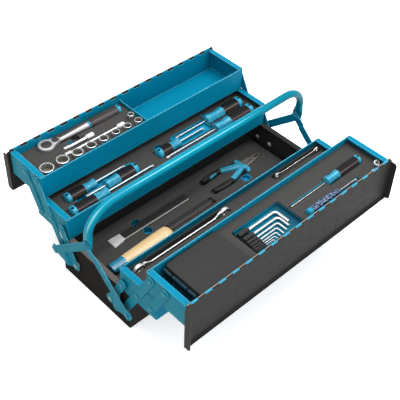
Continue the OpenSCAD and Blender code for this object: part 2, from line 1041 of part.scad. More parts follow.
module ring_spanners() {
    color(steel)
        front()
            in_middle()
                for (s = spanners)
                    translate([0, s[3], spanner_z])
                        spanner(s[0], s[1], s[2]);
}

blade_d = 5;
hang_d = 5;

// a round tool lies with its upper side just under the tray's edge
function driver_z(d) = tray_h - d / 2 - 1;

// screwdrivers: cap end, direction of the blade, depth in the tray, length of grip, collar and
// blade, and diameter
driver_list = [
    [-241, 1, 22.5, 58, 32, 115, 26], [-227, 1, 58, 44, 28, 74, 23], [-65.5, -1, 39.2, 47.5, 32, 45, 27],
    [-12, 1, 40.5, 36, 25, 70, 25], [243, -1, 57, 55, 50, 83, 30], [244, -1, 23, 67, 42, 135, 30]
];
drivers = [
    for (s = driver_list)
        [s[0] * along, s[1], s[2] * across, s[3] * along, s[4] * along, s[5] * along, s[6]]
];

module each_driver() {
    in_middle()
        for (s = drivers)
            translate([s[0], s[2], driver_z(s[6])])
                rotate([0, s[1] * 90, 0]) {
                    $g = s[3];
                    $c = s[4];
                    $b = s[5];
                    $d = s[6];
                    children();
                }
}

module screwdriver_caps() {
    color(blue)
        each_driver()
            difference() {
                rotate_extrude()
                    polygon([
                        [0, 0], [$d * 0.3, 0], [$d * 0.42, $d * 0.08], [$d * 0.47, $d * 0.24],
                        [$d * 0.47, $d * 0.34], [0, $d * 0.34]
                    ]);
                translate([0, 0, -1])
                    cylinder(d = hang_d, h = $d * 0.25);
            }
}

module screwdriver_grips() {
    color(black)
        each_driver()
            difference() {
                rotate_extrude()
                    polygon([
                        [0, $d * 0.34], [$d * 0.47, $d * 0.34], [$d / 2, $d * 0.6], [$d / 2, $g * 0.7],
                        [$d * 0.44, $g], [0, $g]
                    ]);
                for (a = [0 : 60 : 300])
                    rotate([0, 0, a + 30])
                        translate([$d * 0.62, 0, $d * 0.7])
                            cylinder(d = $d * 0.34, h = $g, $fn = 16);
            }
}

module screwdriver_collars() {
    color([0.05, 0.55, 0.75])
        each_driver()
            translate([0, 0, $g])
                rotate_extrude()
                    polygon([
                        [0, 0], [$d * 0.42, 0], [$d * 0.37, $c * 0.3], [$d * 0.36, $c * 0.5],
                        [$d * 0.43, $c * 0.88], [$d * 0.4, $c * 0.97], [$d * 0.3, $c], [0, $c]
                    ]);
}

module screwdriver_blades() {
    color(steel)
        each_driver()
            translate([0, 0, $g + $c])
                difference() {
                    cylinder(d = blade_d, h = $b);
                    for (s = [-1, 1])
                        translate([s * blade_d * 0.78, 0, $b - 1.6 * blade_d])
                            rotate([0, -s * 9, 0])
                                translate([-blade_d / 2, -blade_d, 0])
                                    cube([blade_d, 2 * blade_d, 2 * blade_d]);
                }
}

// ---- tools in the top trays ----

case_z = 10;
case_h = 35;
case_x0 = -wall_x + 37 * along;
case_x1 = -109 * along;
hinge_d = 5;

// flat tool case on the lower foam, hinged along its left side
module flat_case() {
    y0 = sheet_t + 2.5;
    y1 = tray_d - y0;
    z = case_z + 0.5 * case_h;
    color([0.24, 0.24, 0.24])
        front()
            in_top() {
                difference() {
                    block(case_x0, case_x1, y0, y1, case_z, case_z + case_h, 5);
                    // joint between the two halves
                    difference() {
                        block(case_x0 - 1, case_x1 + 1, y0 - 1, y1 + 1, z, z + 0.8);
                        block(case_x0 + 1, case_x1 - 1, y0 + 1, y1 - 1, case_z, case_z + case_h, 4);
                    }
                }
                for (y = [0.18, 0.67])
                    translate([case_x0 - 1.5, y * tray_d - 9, case_z + 0.72 * case_h])
                        rotate([-90, 0, 0])
                            cylinder(d = hinge_d, h = 18);
            }
}

hex_z = tray_foam_z - 9;
holder = [-87 * along, 30 * along, 23 * across, 88 * across];
holder_t = 3;

// holder with a raised rim, open where the key sleeves come out
module hex_key_holder() {
    h = holder;
    t = holder_t;
    color(blue)
        front()
            in_top()
                difference() {
                    block(h[0], h[1], h[2], h[3], hex_z, tray_foam_z + 3, 4);
                    block(h[0] + t, h[1] - t, h[2] + t, h[3] - t, hex_z + 2.5, tray_h, t);
                }
}

// keys: corner, end of the short leg, size
keys = [
    [11, 36, 70, 6], [4, 49, 77, 5], [-6, 58, 81, 4], [-16, 65.5, 83, 3.4],
    [-25, 71.5, 83, 2.8], [-33, 76.5, 83.5, 2.2], [-40, 80.5, 84, 1.7]
];
sleeve_x = -60 * along;

module hex_keys() {
    color(steel)
        front()
            in_top()
                for (k = keys) {
                    r = 1.5 * k[3];
                    x = k[0] * along;
                    y = k[1] * across;
                    z = hex_z + 2.5 + k[3] / 2;
                    translate([sleeve_x, y, z])
                        rotate([0, 90, 0])
                            cylinder(d = k[3], h = x - r - sleeve_x, $fn = 6);
                    translate([x - r, y + r, z])
                        rotate([0, 0, -90])
                            rotate_extrude(angle = 90, $fn = 24)
                                translate([r, 0])
                                    circle(d = k[3], $fn = 6);
                    translate([x, y + r, z])
                        rotate([-90, 0, 0])
                            cylinder(d = k[3], h = k[2] * across - y - r, $fn = 6);
                }
}

module hex_key_sleeves() {
    x0 = holder[0] + holder_t;
    color(black)
        front()
            in_top()
                for (k = keys)
                    translate([x0, k[1] * across, hex_z + 2.5 + k[3] / 2])
                        rotate([0, 90, 0])
                            cylinder(d = k[3], h = sleeve_x - x0);
}

slim_x = 39 * along;
slim_blade = 99 * along;
slim_l = 98 * along;
slim_y = 49 * across;
slim_z = tray_foam_z - 1;
slim_d = 22;
slim_blade_d = 3;

// collar, grip and cap of the small screwdriver: share of the length, share of the diameter
slim_form = [[0, 0.3], [0.01, 0.38], [0.06, 0.39], [0.17, 0.3], [0.27, 0.36], [0.3, 0.42], [0.45, 0.5],
             [0.82, 0.5], [0.88, 0.45], [0.95, 0.44], [0.99, 0.36], [1, 0.28]];

module slim_screwdriver_grip() {
    color(blue)
        front()
            in_top()
                translate([slim_x + slim_blade, slim_y, slim_z])
                    rotate([0, 90, 0])
                        rotate_extrude()
                            polygon(concat(
                                [[0, 0]], [for (p = slim_form) [p[1] * slim_d, p[0] * slim_l]],
                                [[0, slim_l]]
                            ));
}

module slim_screwdriver_blade() {
    color(steel)
        front()
            in_top()
                translate([slim_x, slim_y, slim_z])
                    rotate([0, 90, 0])
                        cylinder(d = slim_blade_d, h = slim_blade);
}

tester_x = 48 * along;
tester_y = 83 * across;
tester_l = 92 * along;
tester_d = 15;
tester_blade_l = 50 * along;
tester_form = [[0, 0.3], [0.01, 0.36], [0.09, 0.37], [0.11, 0.44], [0.15, 0.5], [0.7, 0.5], [0.75, 0.44],
               [0.88, 0.3], [1, 0.24]];

module voltage_tester() {
    color([0.15, 0.2, 0.5])
        front()
            in_top()
                translate([tester_x, tester_y, slim_z])
                    rotate([0, 90, 0])
                        rotate_extrude()
                            polygon(concat(
                                [[0, 0]], [for (p = tester_form) [p[1] * tester_d, p[0] * tester_l]],
                                [[0, tester_l]]
                            ));
}

module tester_blade() {
    color(steel)
        front()
            in_top()
                translate([tester_x + tester_l, tester_y, slim_z])
                    rotate([0, 90, 0])
                        cylinder(d = slim_blade_d, h = tester_blade_l);
}

bit_x = 250 * along;
bit_y = 85 * across;
bit_d = 14;
bit_sunk = 12;

module bit_socket() {
    color(steel)
        front()
            in_top()
                translate([bit_x, bit_y, tray_foam_z - bit_sunk])
                    difference() {
                        cylinder(d = bit_d, h = bit_sunk + 7);
                        translate([0, 0, 9])
                            cylinder(d = 0.62 * bit_d, h = 20, $fn = 6);
                    }
}

ratchet_x = -196 * along;
ratchet_y = 80 * across;
ratchet_z = tray_foam_z + 1;
ratchet_d = 21;
ratchet_head = 34;
ratchet_t = 13;
ratchet_neck = 100 * along;
ratchet_l = 181 * along;
ratchet_cap = 7;
rib_pitch = 5;

module along_ratchet() {
    in_top()
        translate([ratchet_x, ratchet_y, ratchet_z])
            children();
}

// pear-shaped head seen from above, wider all round by g
module ratchet_head2d(g = 0) {
    r = ratchet_head / 2;
    w = r * 0.93 + g;
    n = r * 0.6 + g;
    circle(r = r + g);
    polygon([[0.35 * r, w], [1.3 * r, n], [1.3 * r, -n], [0.35 * r, -w]]);
    translate([1.3 * r, 0])
        circle(r = n);
}

module ratchet() {
    r = ratchet_head / 2;
    color(steel)
        along_ratchet() {
            translate([0, 0, -ratchet_t / 2])
                difference() {
                    linear_extrude(ratchet_t)
                        ratchet_head2d();
                    translate([0, 0, -1])
                        cylinder(d = 0.62 * ratchet_head, h = ratchet_t + 2);
                    translate([1.25 * r, 0, ratchet_t - 2])
                        cylinder(d = 0.36 * ratchet_head, h = 3);
                }
            translate([1.7 * r, 0, 0])
                rotate([0, 90, 0])
                    rotate_extrude()
                        polygon([
                            [0, 0], [ratchet_t * 0.42, 0], [ratchet_t * 0.4, 0.3 * ratchet_neck],
                            [ratchet_d * 0.31, ratchet_neck - 1.7 * r], [0, ratchet_neck - 1.7 * r]
                        ]);
        }
}

// ribbed grip, with a blue ring in front of it and a cap behind
module ratchet_grip() {
    x0 = ratchet_neck + 4;
    x1 = ratchet_l - ratchet_cap;
    n = floor((x1 - x0 - 16) / rib_pitch);
    r = ratchet_d / 2;
    color(black)
        along_ratchet()
            rotate([0, 90, 0])
                rotate_extrude()
                    polygon(concat(
                        [[0, x0], [0.66 * r, x0], [0.7 * r, x0 + 1], [r - 0.5, x0 + 5]],
                        [for (i = [0 : n - 1]) each [
                            [r, x0 + 6 + i * rib_pitch], [r, x0 + 9 + i * rib_pitch],
                            [r - 0.6, x0 + 9.5 + i * rib_pitch], [r - 0.6, x0 + 10.5 + i * rib_pitch]
                        ]],
                        [[r, x1 - 6], [r - 1.5, x1], [0, x1]]
                    ));
}

module ratchet_collar() {
    x1 = ratchet_l - ratchet_cap;
    r = ratchet_d / 2;
    color(blue)
        along_ratchet()
            rotate([0, 90, 0]) {
                rotate_extrude()
                    polygon([
                        [0, ratchet_neck], [0.66 * r, ratchet_neck], [0.72 * r, ratchet_neck + 1],
                        [0.72 * r, ratchet_neck + 3], [0.66 * r, ratchet_neck + 4], [0, ratchet_neck + 4]
                    ]);
                difference() {
                    rotate_extrude()
                        polygon([
                            [0, x1], [r - 1.5, x1], [r - 2, ratchet_l - 2], [r - 4, ratchet_l],
                            [0, ratchet_l]
                        ]);
                    translate([0, 0, ratchet_l - 4])
                        cylinder(d = hang_d, h = 5);
                }
            }
}

extension_x = -174 * along;
extension_y = 53 * across;
extension_z = tray_foam_z - 1;
extension_l = 70 * along;
extension_d = 14;
drive = 6.4;
long_x = -182 * along;
long_y = 38 * across;
long_l = 144 * along;
long_d = 9;

// extension bar: square drive, round shank, knurled socket end
module extension(x, y, l, d) {
    r = extension_d / 2;
    color(steel)
        in_top()
            translate([x, y, extension_z])
                rotate([0, 90, 0]) {
                    translate([-drive / 2, -drive / 2, 0])
                        cube([drive, drive, 9]);
                    rotate_extrude()
                        polygon([
                            [0, 8], [d / 2 - 0.5, 8], [d / 2, 9], [d / 2, l - 19], [r, l - 16],
                            [r, l - 1], [r - 1, l], [0, l]
                        ]);
                }
}

module extension_bar() {
    extension(extension_x, extension_y, extension_l, extension_d - 4);
}

module long_extension_bar() {
    extension(long_x, long_y, long_l, long_d);
}

// sockets: place, outer size, height; the small one stands by the divider
socket_list = [
    [-235.5, 22, 28, 27], [-199.5, 21.5, 25.4, 27], [-165.5, 20, 22.4, 26], [-133, 19.5, 20.4, 25],
    [-102.5, 19.5, 18.8, 25], [-72.5, 19.5, 16.6, 25], [-43.5, 19, 16, 25], [-16, 18.5, 16, 25]
];
sockets_at = concat(
    [for (s = socket_list) [s[0] * along, s[1] * across, s[2], s[3]]],
    [[divider_x - 14.5, 42 * across, 14, 36]]
);
socket_top = tray_foam_z + 11;

module sockets() {
    color(steel)
        in_top()
            for (s = sockets_at)
                translate([s[0], s[1], socket_top - s[3]]) {
                    r = s[2] / 2;
                    difference() {
                        rotate_extrude()
                            polygon([
                                [0, 0], [r - 1, 0], [r, 1], [r, s[3] * 0.35], [r - 1.2, s[3] * 0.4],
                                [r - 1.2, s[3] * 0.5], [r, s[3] * 0.55], [r, s[3] - 1],
                                [r - 0.8, s[3]], [0, s[3]]
                            ]);
                        translate([0, 0, s[3] * 0.5])
                            cylinder(r = r - 1.9, h = s[3], $fn = 6);
                    }
                }
}

base_shell();
base_rivets();
base_foam();
flat_chisel();
cape_chisel();
wood_handle();
pliers();
plier_grips();
front_long_links();
front_cranks();
front_crank_studs();
front_short_links();
front_middle_tray();
front_middle_rivets();
front_middle_foam();
ring_spanners();
front_top_tray();
front_top_rivets();
front_hinge_wire();
front_top_foam();
front_lid();
flat_case();
hex_key_holder();
hex_keys();
hex_key_sleeves();
slim_screwdriver_grip();
slim_screwdriver_blade();
voltage_tester();
tester_blade();
bit_socket();
back_long_links();
back_cranks();
back_crank_studs();
back_short_links();
back_middle_tray();
back_middle_rivets();
back_middle_foam();
screwdriver_caps();
screwdriver_grips();
screwdriver_collars();
screwdriver_blades();
back_top_tray();
back_top_rivets();
back_hinge_wire();
back_top_foam();
back_lid();
tray_divider();
ratchet();
ratchet_grip();
ratchet_collar();
extension_bar();
long_extension_bar();
sockets();
handle();
handle_rivets();
front_arms();
front_arm_rivets();
back_arms();
back_arm_rivets();
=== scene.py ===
import math

import bpy
import numpy as np
from mathutils import Matrix, Vector


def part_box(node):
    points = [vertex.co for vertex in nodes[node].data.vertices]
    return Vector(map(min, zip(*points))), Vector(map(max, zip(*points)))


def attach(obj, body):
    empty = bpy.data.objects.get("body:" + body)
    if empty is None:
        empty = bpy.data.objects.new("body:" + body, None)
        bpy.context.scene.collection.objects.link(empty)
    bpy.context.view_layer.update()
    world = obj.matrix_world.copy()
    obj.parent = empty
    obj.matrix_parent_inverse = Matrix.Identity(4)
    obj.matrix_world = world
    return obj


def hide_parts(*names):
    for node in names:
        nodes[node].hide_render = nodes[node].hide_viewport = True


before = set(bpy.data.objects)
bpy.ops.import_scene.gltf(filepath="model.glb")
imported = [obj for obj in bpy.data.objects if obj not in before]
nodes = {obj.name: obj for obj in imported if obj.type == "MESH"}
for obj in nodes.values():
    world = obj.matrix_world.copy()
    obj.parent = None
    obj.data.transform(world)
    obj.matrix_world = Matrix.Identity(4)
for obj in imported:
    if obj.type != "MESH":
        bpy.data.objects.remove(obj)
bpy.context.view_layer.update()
scene = bpy.context.scene
MM = 0.001
QUARTER = math.pi / 2.0


# -------- sizes from the solids, in millimetres


def low_of(node):
    """y and z of the low corner of a solid's box."""
    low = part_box(node)[0]
    return low.y / MM, low.z / MM


def top_of(node):
    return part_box(node)[1].z / MM


BASE_FOAM = top_of("base_foam")
HINGE_TOP = top_of("front_hinge_wire")
MID_Y, MID_Z = low_of("back_middle_tray")
TOP_Y, TOP_Z = low_of("back_top_tray")
TRAY_HEIGHT = 51.7
FOAM_HEIGHT = 37.0
TOP_FOAM = TOP_Z + FOAM_HEIGHT
HANDLE_PIVOT = 151.15
BASE_RIM = 94.3
# x just inside the base's left wall, and x past both ends of the box
LEFT_WALL = -250.0
BEYOND = 400.0


# -------- shader maths


def math_node(operation):
    """A method that puts this Math node after a number."""
    return lambda wire, *others: wire.math(operation, wire, *others)


class Wire:
    """A number on its way through the shader; operators add the Math nodes."""

    def __init__(self, finish, socket):
        self.finish = finish
        self.socket = socket

    def math(self, operation, *given):
        node = self.finish.add("ShaderNodeMath", {"operation": operation}, *given)
        return Wire(self.finish, node.outputs[0])

    __add__ = __radd__ = math_node("ADD")
    __sub__ = math_node("SUBTRACT")
    __mul__ = __rmul__ = math_node("MULTIPLY")
    __truediv__ = math_node("DIVIDE")
    __pow__ = math_node("POWER")
    max = math_node("MAXIMUM")
    abs = math_node("ABSOLUTE")
    sin = math_node("SINE")

    def __rsub__(self, other):
        return self.math("SUBTRACT", other, self)

    def step(self, low, high):
        """0 below low, 1 above high and a smooth rise between."""
        node = self.finish.add(
            "ShaderNodeMapRange", {"interpolation_type": "SMOOTHSTEP"}, self, low, high, 0.0, 1.0
        )
        return Wire(self.finish, node.outputs[0])

    def fall(self, low, high):
        """1 below low, 0 above high and a smooth fall between."""
        return 1.0 - self.step(low, high)


class Finish:
    """One procedural material on a Principled shader."""

    def __init__(self, name):
        self.material = bpy.data.materials.new(name)
        self.material.use_nodes = True
        self.tree = self.material.node_tree
        self.shader = self.tree.nodes["Principled BSDF"]

    def add(self, kind, settings=None, *values, **named):
        """Adds a node of this type, sets it up, then fills or links its sockets."""
        node = self.tree.nodes.new(kind)
        for key, value in (settings or {}).items():
            setattr(node, key, value)
        for socket, value in zip(node.inputs, values):
            self.put(socket, value)
        for key, value in named.items():
            self.put(node.inputs[key.replace("_", " ")], value)
        return node

    def put(self, socket, value):
        """Links or sets one socket. A colour is red, green and blue, or one number for a grey."""
        if isinstance(value, Wire):
            value = value.socket
        if isinstance(value, bpy.types.NodeSocket):
            self.tree.links.new(value, socket)
        elif value is not None:
            if socket.type == "RGBA":
                value = (*value, 1.0) if isinstance(value, tuple) else (value, value, value, 1.0)
            socket.default_value = value

    def place(self):
        """Object coordinates in metres."""
        return self.add("ShaderNodeTexCoord").outputs["Object"]

    def split(self, vector):
        return [Wire(self, o) for o in self.add("ShaderNodeSeparateXYZ", None, vector).outputs]

    def xyz(self):
        """Object coordinates in millimetres, as three numbers."""
        return [part * (1.0 / MM) for part in self.split(self.place())]

    def tool(self):
        """A piece's own coordinates: across, up and along, in millimetres where it says no other."""
        return self.split(self.add("ShaderNodeAttribute", {"attribute_name": "tool"}).outputs["Vector"])

    def facing(self):
        """The true normal in world space, as three numbers."""
        return self.split(self.add("ShaderNodeNewGeometry").outputs["Normal"])

    def angle(self, a, b):
        """The direction of (a, b), in radians from the a axis."""
        return b.math("ARCTAN2", b, a)

    def from_top(self):
        """How far round a turned piece a point is from its top, in radians."""
        a, b, _ = self.tool()
        off = self.angle(a, b) - QUARTER
        return off.math("WRAP", off, math.pi, -math.pi).abs()

    def stretched(self, along_x):
        """Object coordinates that stretch a texture along x."""
        node = self.add("ShaderNodeMapping", {"vector_type": "TEXTURE"}, self.place())
        self.put(node.inputs["Scale"], (along_x, 1.0, 1.0))
        return node.outputs[0]

    def noise(self, size_mm, detail=2.0, rough=0.5, place=None):
        """Soft noise with features of about this size."""
        node = self.add(
            "ShaderNodeTexNoise", None, Vector=place or self.place(), Scale=1.0 / (size_mm * MM),
            Detail=detail, Roughness=rough,
        )
        return Wire(self, node.outputs[0])

    def mix(self, share, a, b):
        """The colour a where share is 0 and b where it is 1."""
        node = self.add("ShaderNodeMix", {"data_type": "RGBA"})
        for index, value in ((0, share), (6, a), (7, b)):
            self.put(node.inputs[index], value)
        return node.outputs[2]

    def rounded(self, radius_mm, samples=5):
        """Normal with the edges eased by this radius."""
        return self.add("ShaderNodeBevel", {"samples": samples}, radius_mm * MM).outputs[0]

    def turned_edge(self, radius_mm):
        """1 where the surface turns within this radius: one less the cosine between the eased normal
        and the true one."""
        eased = self.rounded(radius_mm, 4)
        true = self.add("ShaderNodeNewGeometry").outputs["Normal"]
        node = self.add("ShaderNodeVectorMath", {"operation": "DOT_PRODUCT"}, eased, true)
        return (1.0 - Wire(self, node.outputs["Value"])).step(0.015, 0.12)

    def bump(self, height, depth_mm, normal=None):
        node = self.add(
            "ShaderNodeBump", None, Strength=1.0, Distance=depth_mm * MM, Height=height, Normal=normal
        )
        return node.outputs[0]

    def grain(self, size_mm, depth_mm, edge_mm=None, detail=2.0):
        """Normal of a fine grain, with the edges eased by edge_mm."""
        edges = self.rounded(edge_mm) if edge_mm else None
        return self.bump(self.noise(size_mm, detail), depth_mm, edges)

    def finish(self, colour, roughness, metallic=0.0, normal=None, shine=0.5, coat=0.0):
        """Fills the shader's sockets and gives the material."""
        for key, value in (
            ("Base Color", colour), ("Roughness", roughness), ("Metallic", metallic),
            ("Normal", normal), ("Specular IOR Level", shine), ("Coat Weight", coat),
        ):
            self.put(self.shader.inputs[key], value)
        return self.material


# -------- kinds of material


def painted_tube_light(f, colour):
    """Painted light and shade on a bent tube: painted shade darkens it towards its right leg, a soft
    painted highlight line runs along the upper side, broader round the left bend, and a thin painted
    glint lies inside it along the grip."""
    a, b, along = f.tool()
    # painted shade towards the right leg
    colour = f.mix(along.step(380.0, 580.0), colour, (0.0, 0.14, 0.205))
    bend = along.step(45.0, 70.0) * along.fall(85.0, 115.0)
    off = (f.angle(a, b) - 2.05).abs()
    # a painted highlight line at a fixed angle round the tube, broader round the left bend
    line = (off / (0.16 + 0.22 * bend)).fall(0.3, 1.0)
    colour = f.mix(line * (0.3 * along.fall(250.0, 520.0) + 0.5 * bend), colour, (0.18, 0.48, 0.55))
    # a thin painted glint along the grip
    glint = off.fall(0.05, 0.11) * along.step(150.0, 200.0) * along.fall(400.0, 500.0)
    return f.mix(glint * 0.7, colour, (0.26, 0.62, 0.74))


def powder_coat(name, light, dark, edge, roughness, shine, wear_and_highlight=None, left=None, painted_sheen=False):
    """Baked powder coat on sheet steel: fine orange peel, faint cloudiness, and a painted highlight
    along
    bent edges. wear_and_highlight is (height, until, colour, level): over that height and left of the x
    until, faces whose normal points up by more than level take that colour; on the hinge knuckles this
    is a painted highlight. left is (until, colour): painted shade on the faces towards -x left of
    until.
    painted_sheen gives a tube its painted highlights and shade."""
    f = Finish(name)
    cloud = f.noise(60.0, 3.0).step(0.3, 0.7)
    handling_and_highlight = f.noise(14.0, 4.0, 0.6).step(0.35, 0.75)
    x, _, z = f.xyz()
    to_right, _, upwards = f.facing()
    colour = f.mix(cloud, dark, light)
    if painted_sheen:
        colour = painted_tube_light(f, colour)
    else:
        # a painted highlight along the bent edges, patchy with the noise
        colour = f.mix(f.turned_edge(1.1) * (0.75 + 0.25 * handling_and_highlight), colour, edge)
    # painted shade on the faces towards -x
    if left:
        until, shade = left
        outer = (to_right * -1.0).step(0.7, 0.95) * x.fall(until, until + 1.0)
        colour = f.mix(outer, colour, shade)
    # on the hinge knuckles these paler upward faces are a painted highlight
    if wear_and_highlight:
        height, until, rubbed, level = wear_and_highlight
        top = z.step(height, height + 0.1) * upwards.step(level, level + 0.02)
        colour = f.mix(top * x.fall(until, until + 1.0), colour, rubbed)
    return f.finish(
        colour, roughness + 0.1 * handling_and_highlight, normal=f.grain(1.6, 0.02, 0.7, detail=1.0), shine=shine,
    )


def foam(name, top_z, marks, skin):
    """Two-layer foam: a dark skin on top and blue below it, with a fine open grain. Each mark is a
    finger hole or the floor of a pocket, drawn flat: a patch |dx/half length|^power + |dy/half
    width|^power = 1 in its own colour; the darker blues and the black are painted shade down in the
    holes."""
    f = Finish(name)
    x, y, z = f.xyz()
    grain = f.noise(0.9, 3.0, 0.7)
    speck = f.noise(2.5, 2.0)
    below = top_z - skin
    upper = (z + (speck - 0.5) * 0.5).step(below - 0.15, below + 0.15)
    dark = f.mix(speck, (0.034, 0.033, 0.0315), (0.048, 0.0465, 0.0445))
    blue = f.mix(speck, (0.0, 0.20, 0.34), (0.0, 0.24, 0.40))
    for at_x, at_y, half_length, half_width, power, colour in marks:
        share = ((x - at_x) / half_length).abs() ** power + ((y - at_y) / half_width).abs() ** power
        # a mark's colour, darker where it paints the shade in a hole
        dark = f.mix(share.step(0.95, 1.15), colour, dark)
    return f.finish(
        f.mix(upper, blue, dark), 0.9, normal=f.bump(grain, 0.12, f.rounded(0.8)), shine=0.2,
    )


def chrome(name, tone, roughness, metallic):
    """Chrome plate with faint polishing haze."""
    f = Finish(name)
    haze = f.noise(9.0, 3.0, 0.6)
    return f.finish(
        f.mix(haze, (tone, tone, tone * 1.01), (tone * 0.86, tone * 0.86, tone * 0.88)),
        roughness + 0.12 * haze, metallic, f.grain(3.0, 0.015, 0.4),
    )


def shaded_flank_chrome(name):
    """Chrome that stays bright where it faces up or along; the flanks sunk in the foam are painted
    shade, dark and not metallic.
    """
    f = Finish(name)
    haze = f.noise(9.0, 3.0, 0.6)
    shaded_flank = f.facing()[1].abs().step(0.75, 0.95)
    bright = f.mix(haze, (0.80, 0.79, 0.75), (0.70, 0.69, 0.66))
    return f.finish(
        f.mix(shaded_flank, bright, 0.03), 0.28 + 0.1 * haze, 0.75 - 0.75 * shaded_flank, f.grain(3.0, 0.015),
    )


def blade_with_painted_flanks(name):
    """A round bright blade down in a blue pocket: bright along its top; round its flanks, painted shade
    tinted by a painted reflection of the blue pocket.
    """
    f = Finish(name)
    haze = f.noise(9.0, 3.0, 0.6)
    # the upward faces stay bright; the rest is painted shade and reflection
    top = f.facing()[2].step(0.78, 0.93)
    return f.finish(
        f.mix(top, (0.02, 0.13, 0.19), f.mix(haze, (0.72, 0.73, 0.74), (0.62, 0.63, 0.64))),
        0.3, 0.5 * top, f.grain(3.0, 0.015), shine=0.2,
    )


def zinc(name, outer_x):
    """Zinc plate on cold-formed steel, dulled and greenish at the heads further out than outer_x."""
    f = Finish(name)
    haze = f.noise(1.5, 3.0)
    outside = f.xyz()[0].abs().step(outer_x, outer_x + 1.0)
    bright = f.mix(haze, (0.66, 0.64, 0.60), (0.78, 0.76, 0.72))
    return f.finish(
        f.mix(outside, bright, (0.10, 0.20, 0.20)), 0.3 + 0.2 * haze, 0.2, f.bump(haze, 0.02)
    )


def plastic(name, light, dark, roughness, grain_mm, shine=0.2):
    """Moulded plastic or rubber with a fine eroded grain."""
    f = Finish(name)
    cloud = f.noise(12.0, 2.0)
    return f.finish(
        f.mix(cloud, dark, light), roughness + 0.08 * cloud, normal=f.grain(grain_mm, 0.02, 0.5),
        shine=shine,
    )


def dark_lipped(name, top_z, left_x, front_y):
    """Blue tray, darkened by painted shade towards its right end, and dark along the lip: above top_z
    less 2 mm, left of left_x and in front of front_y."""
    f = Finish(name)
    x, y, z = f.xyz()
    blue = f.mix(f.noise(12.0, 2.0), (0.0, 0.12, 0.19), (0.0, 0.145, 0.23))
    # painted shade towards the right end
    blue = f.mix(x.step(-4.0, 24.0) * 0.8, blue, (0.003, 0.045, 0.08))
    rim = z.step(top_z - 2.4, top_z - 1.8)
    rim = rim.max(x.fall(left_x, left_x + 1.0)).max(y.fall(front_y, front_y + 1.0))
    return f.finish(
        f.mix(rim, blue, (0.008, 0.012, 0.015)), 0.4, normal=f.grain(1.2, 0.02, 0.5), shine=0.1,
    )


def black_steel(name):
    """Lacquered black tool steel, a little brighter where it is rubbed."""
    f = Finish(name)
    rub = f.noise(7.0, 4.0, 0.65)
    dark = f.mix(rub.step(0.4, 0.75), 0.018, 0.045)
    return f.finish(dark, 0.3 + 0.2 * rub, normal=f.grain(1.5, 0.03, 0.6), shine=0.2)


def ground_steel(name):
    """Brownish ground steel under a dark oil film."""
    f = Finish(name)
    rub = f.noise(6.0, 4.0, 0.6)
    return f.finish(
        f.mix(rub.step(0.3, 0.7), (0.10, 0.09, 0.075), (0.24, 0.215, 0.185)), 0.35 + 0.15 * rub, 0.6,
        f.grain(1.5, 0.03, 0.5),
    )


def ash(name, blue_end):
    """Lacquered ash: long grain lines and pores along x, dipped blue left of blue_end."""
    f = Finish(name)
    grained = f.stretched(9.0)
    x, y, _ = f.xyz()
    figure = f.noise(5.0, 3.0, 0.6, grained)
    rings = (figure * 30.0 + y * 0.8).sin() * 0.5 + 0.5
    pores = f.noise(0.7, 2.0, 0.6, grained).step(0.55, 0.7)
    wood = f.mix(rings * 0.5, (0.66, 0.47, 0.235), (0.55, 0.36, 0.165))
    wood = f.mix(pores * 0.5, wood, (0.3, 0.18, 0.08))
    bare = (x + figure * 2.0).step(blue_end + 0.8, blue_end + 1.4)
    return f.finish(
        f.mix(bare, (0.01, 0.17, 0.28), wood), 0.32 + 0.12 * pores, normal=f.bump(pores, -0.03),
        coat=0.4,
    )


def striped_grip(name):
    """Two-part grip: a black panel along the top, and brownish bands of the harder part beside it."""
    f = Finish(name)
    side = f.from_top()
    cloud = f.noise(6.0, 3.0)
    black = f.mix(side.step(0.6, 0.7), (0.005, 0.005, 0.0053), (0.020, 0.016, 0.0155))
    band = side.step(0.60, 0.72) * side.fall(0.86, 0.98)
    return f.finish(
        f.mix(band * (0.4 + 0.6 * cloud), black, (0.15, 0.11, 0.112)), 0.4 + 0.1 * cloud,
        normal=f.grain(0.5, 0.02, 0.4), shine=0.12,
    )


HOLE_AT = 0.21


def holed_cap(name):
    """Blue moulding with painted shade in its hanging hole; the piece's own coordinates are shares of
    its width.
    """
    f = Finish(name)
    a, b, s = f.tool()
    beyond = s - HOLE_AT
    away = (beyond * beyond + a * a) ** 0.5
    blue = f.mix(f.noise(9.0, 2.0), (0.01, 0.22, 0.35), (0.03, 0.30, 0.43))
    # painted shade inside the hole's pit
    return f.finish(
        f.mix(away.fall(0.11, 0.135) * b.step(0.0, 0.05), blue, (0.0, 0.02, 0.045)), 0.3,
        normal=f.grain(1.2, 0.02), shine=0.25,
    )


def ribbed_grip(name):
    """Black along the flat on top, rubbed to brownish grey round the ribs."""
    f = Finish(name)
    wear_and_highlight = f.from_top().step(0.5, 0.6)
    cloud = f.noise(5.0, 3.0)
    return f.finish(
        f.mix(wear_and_highlight * (0.4 + 0.5 * cloud), 0.0065, (0.06, 0.05, 0.05)), 0.42 + 0.1 * cloud,
        normal=f.grain(0.5, 0.02),
    )


def clear_body(name):
    """Dark blue clear plastic with a printed card inside it: light specks stand for its print and for
    painted glints, with more painted glints along the top.
    """
    f = Finish(name)
    glint = f.noise(1.8, 3.0, 0.7, f.stretched(1.8))
    # more painted glints along the top, where light falls
    top = f.from_top().fall(0.5, 1.3)
    return f.finish(
        f.mix((glint + 0.12 * top).step(0.62, 0.72), (0.004, 0.013, 0.052), (0.24, 0.32, 0.44)), 0.12,
        normal=f.bump(glint, 0.05), shine=0.2,
    )


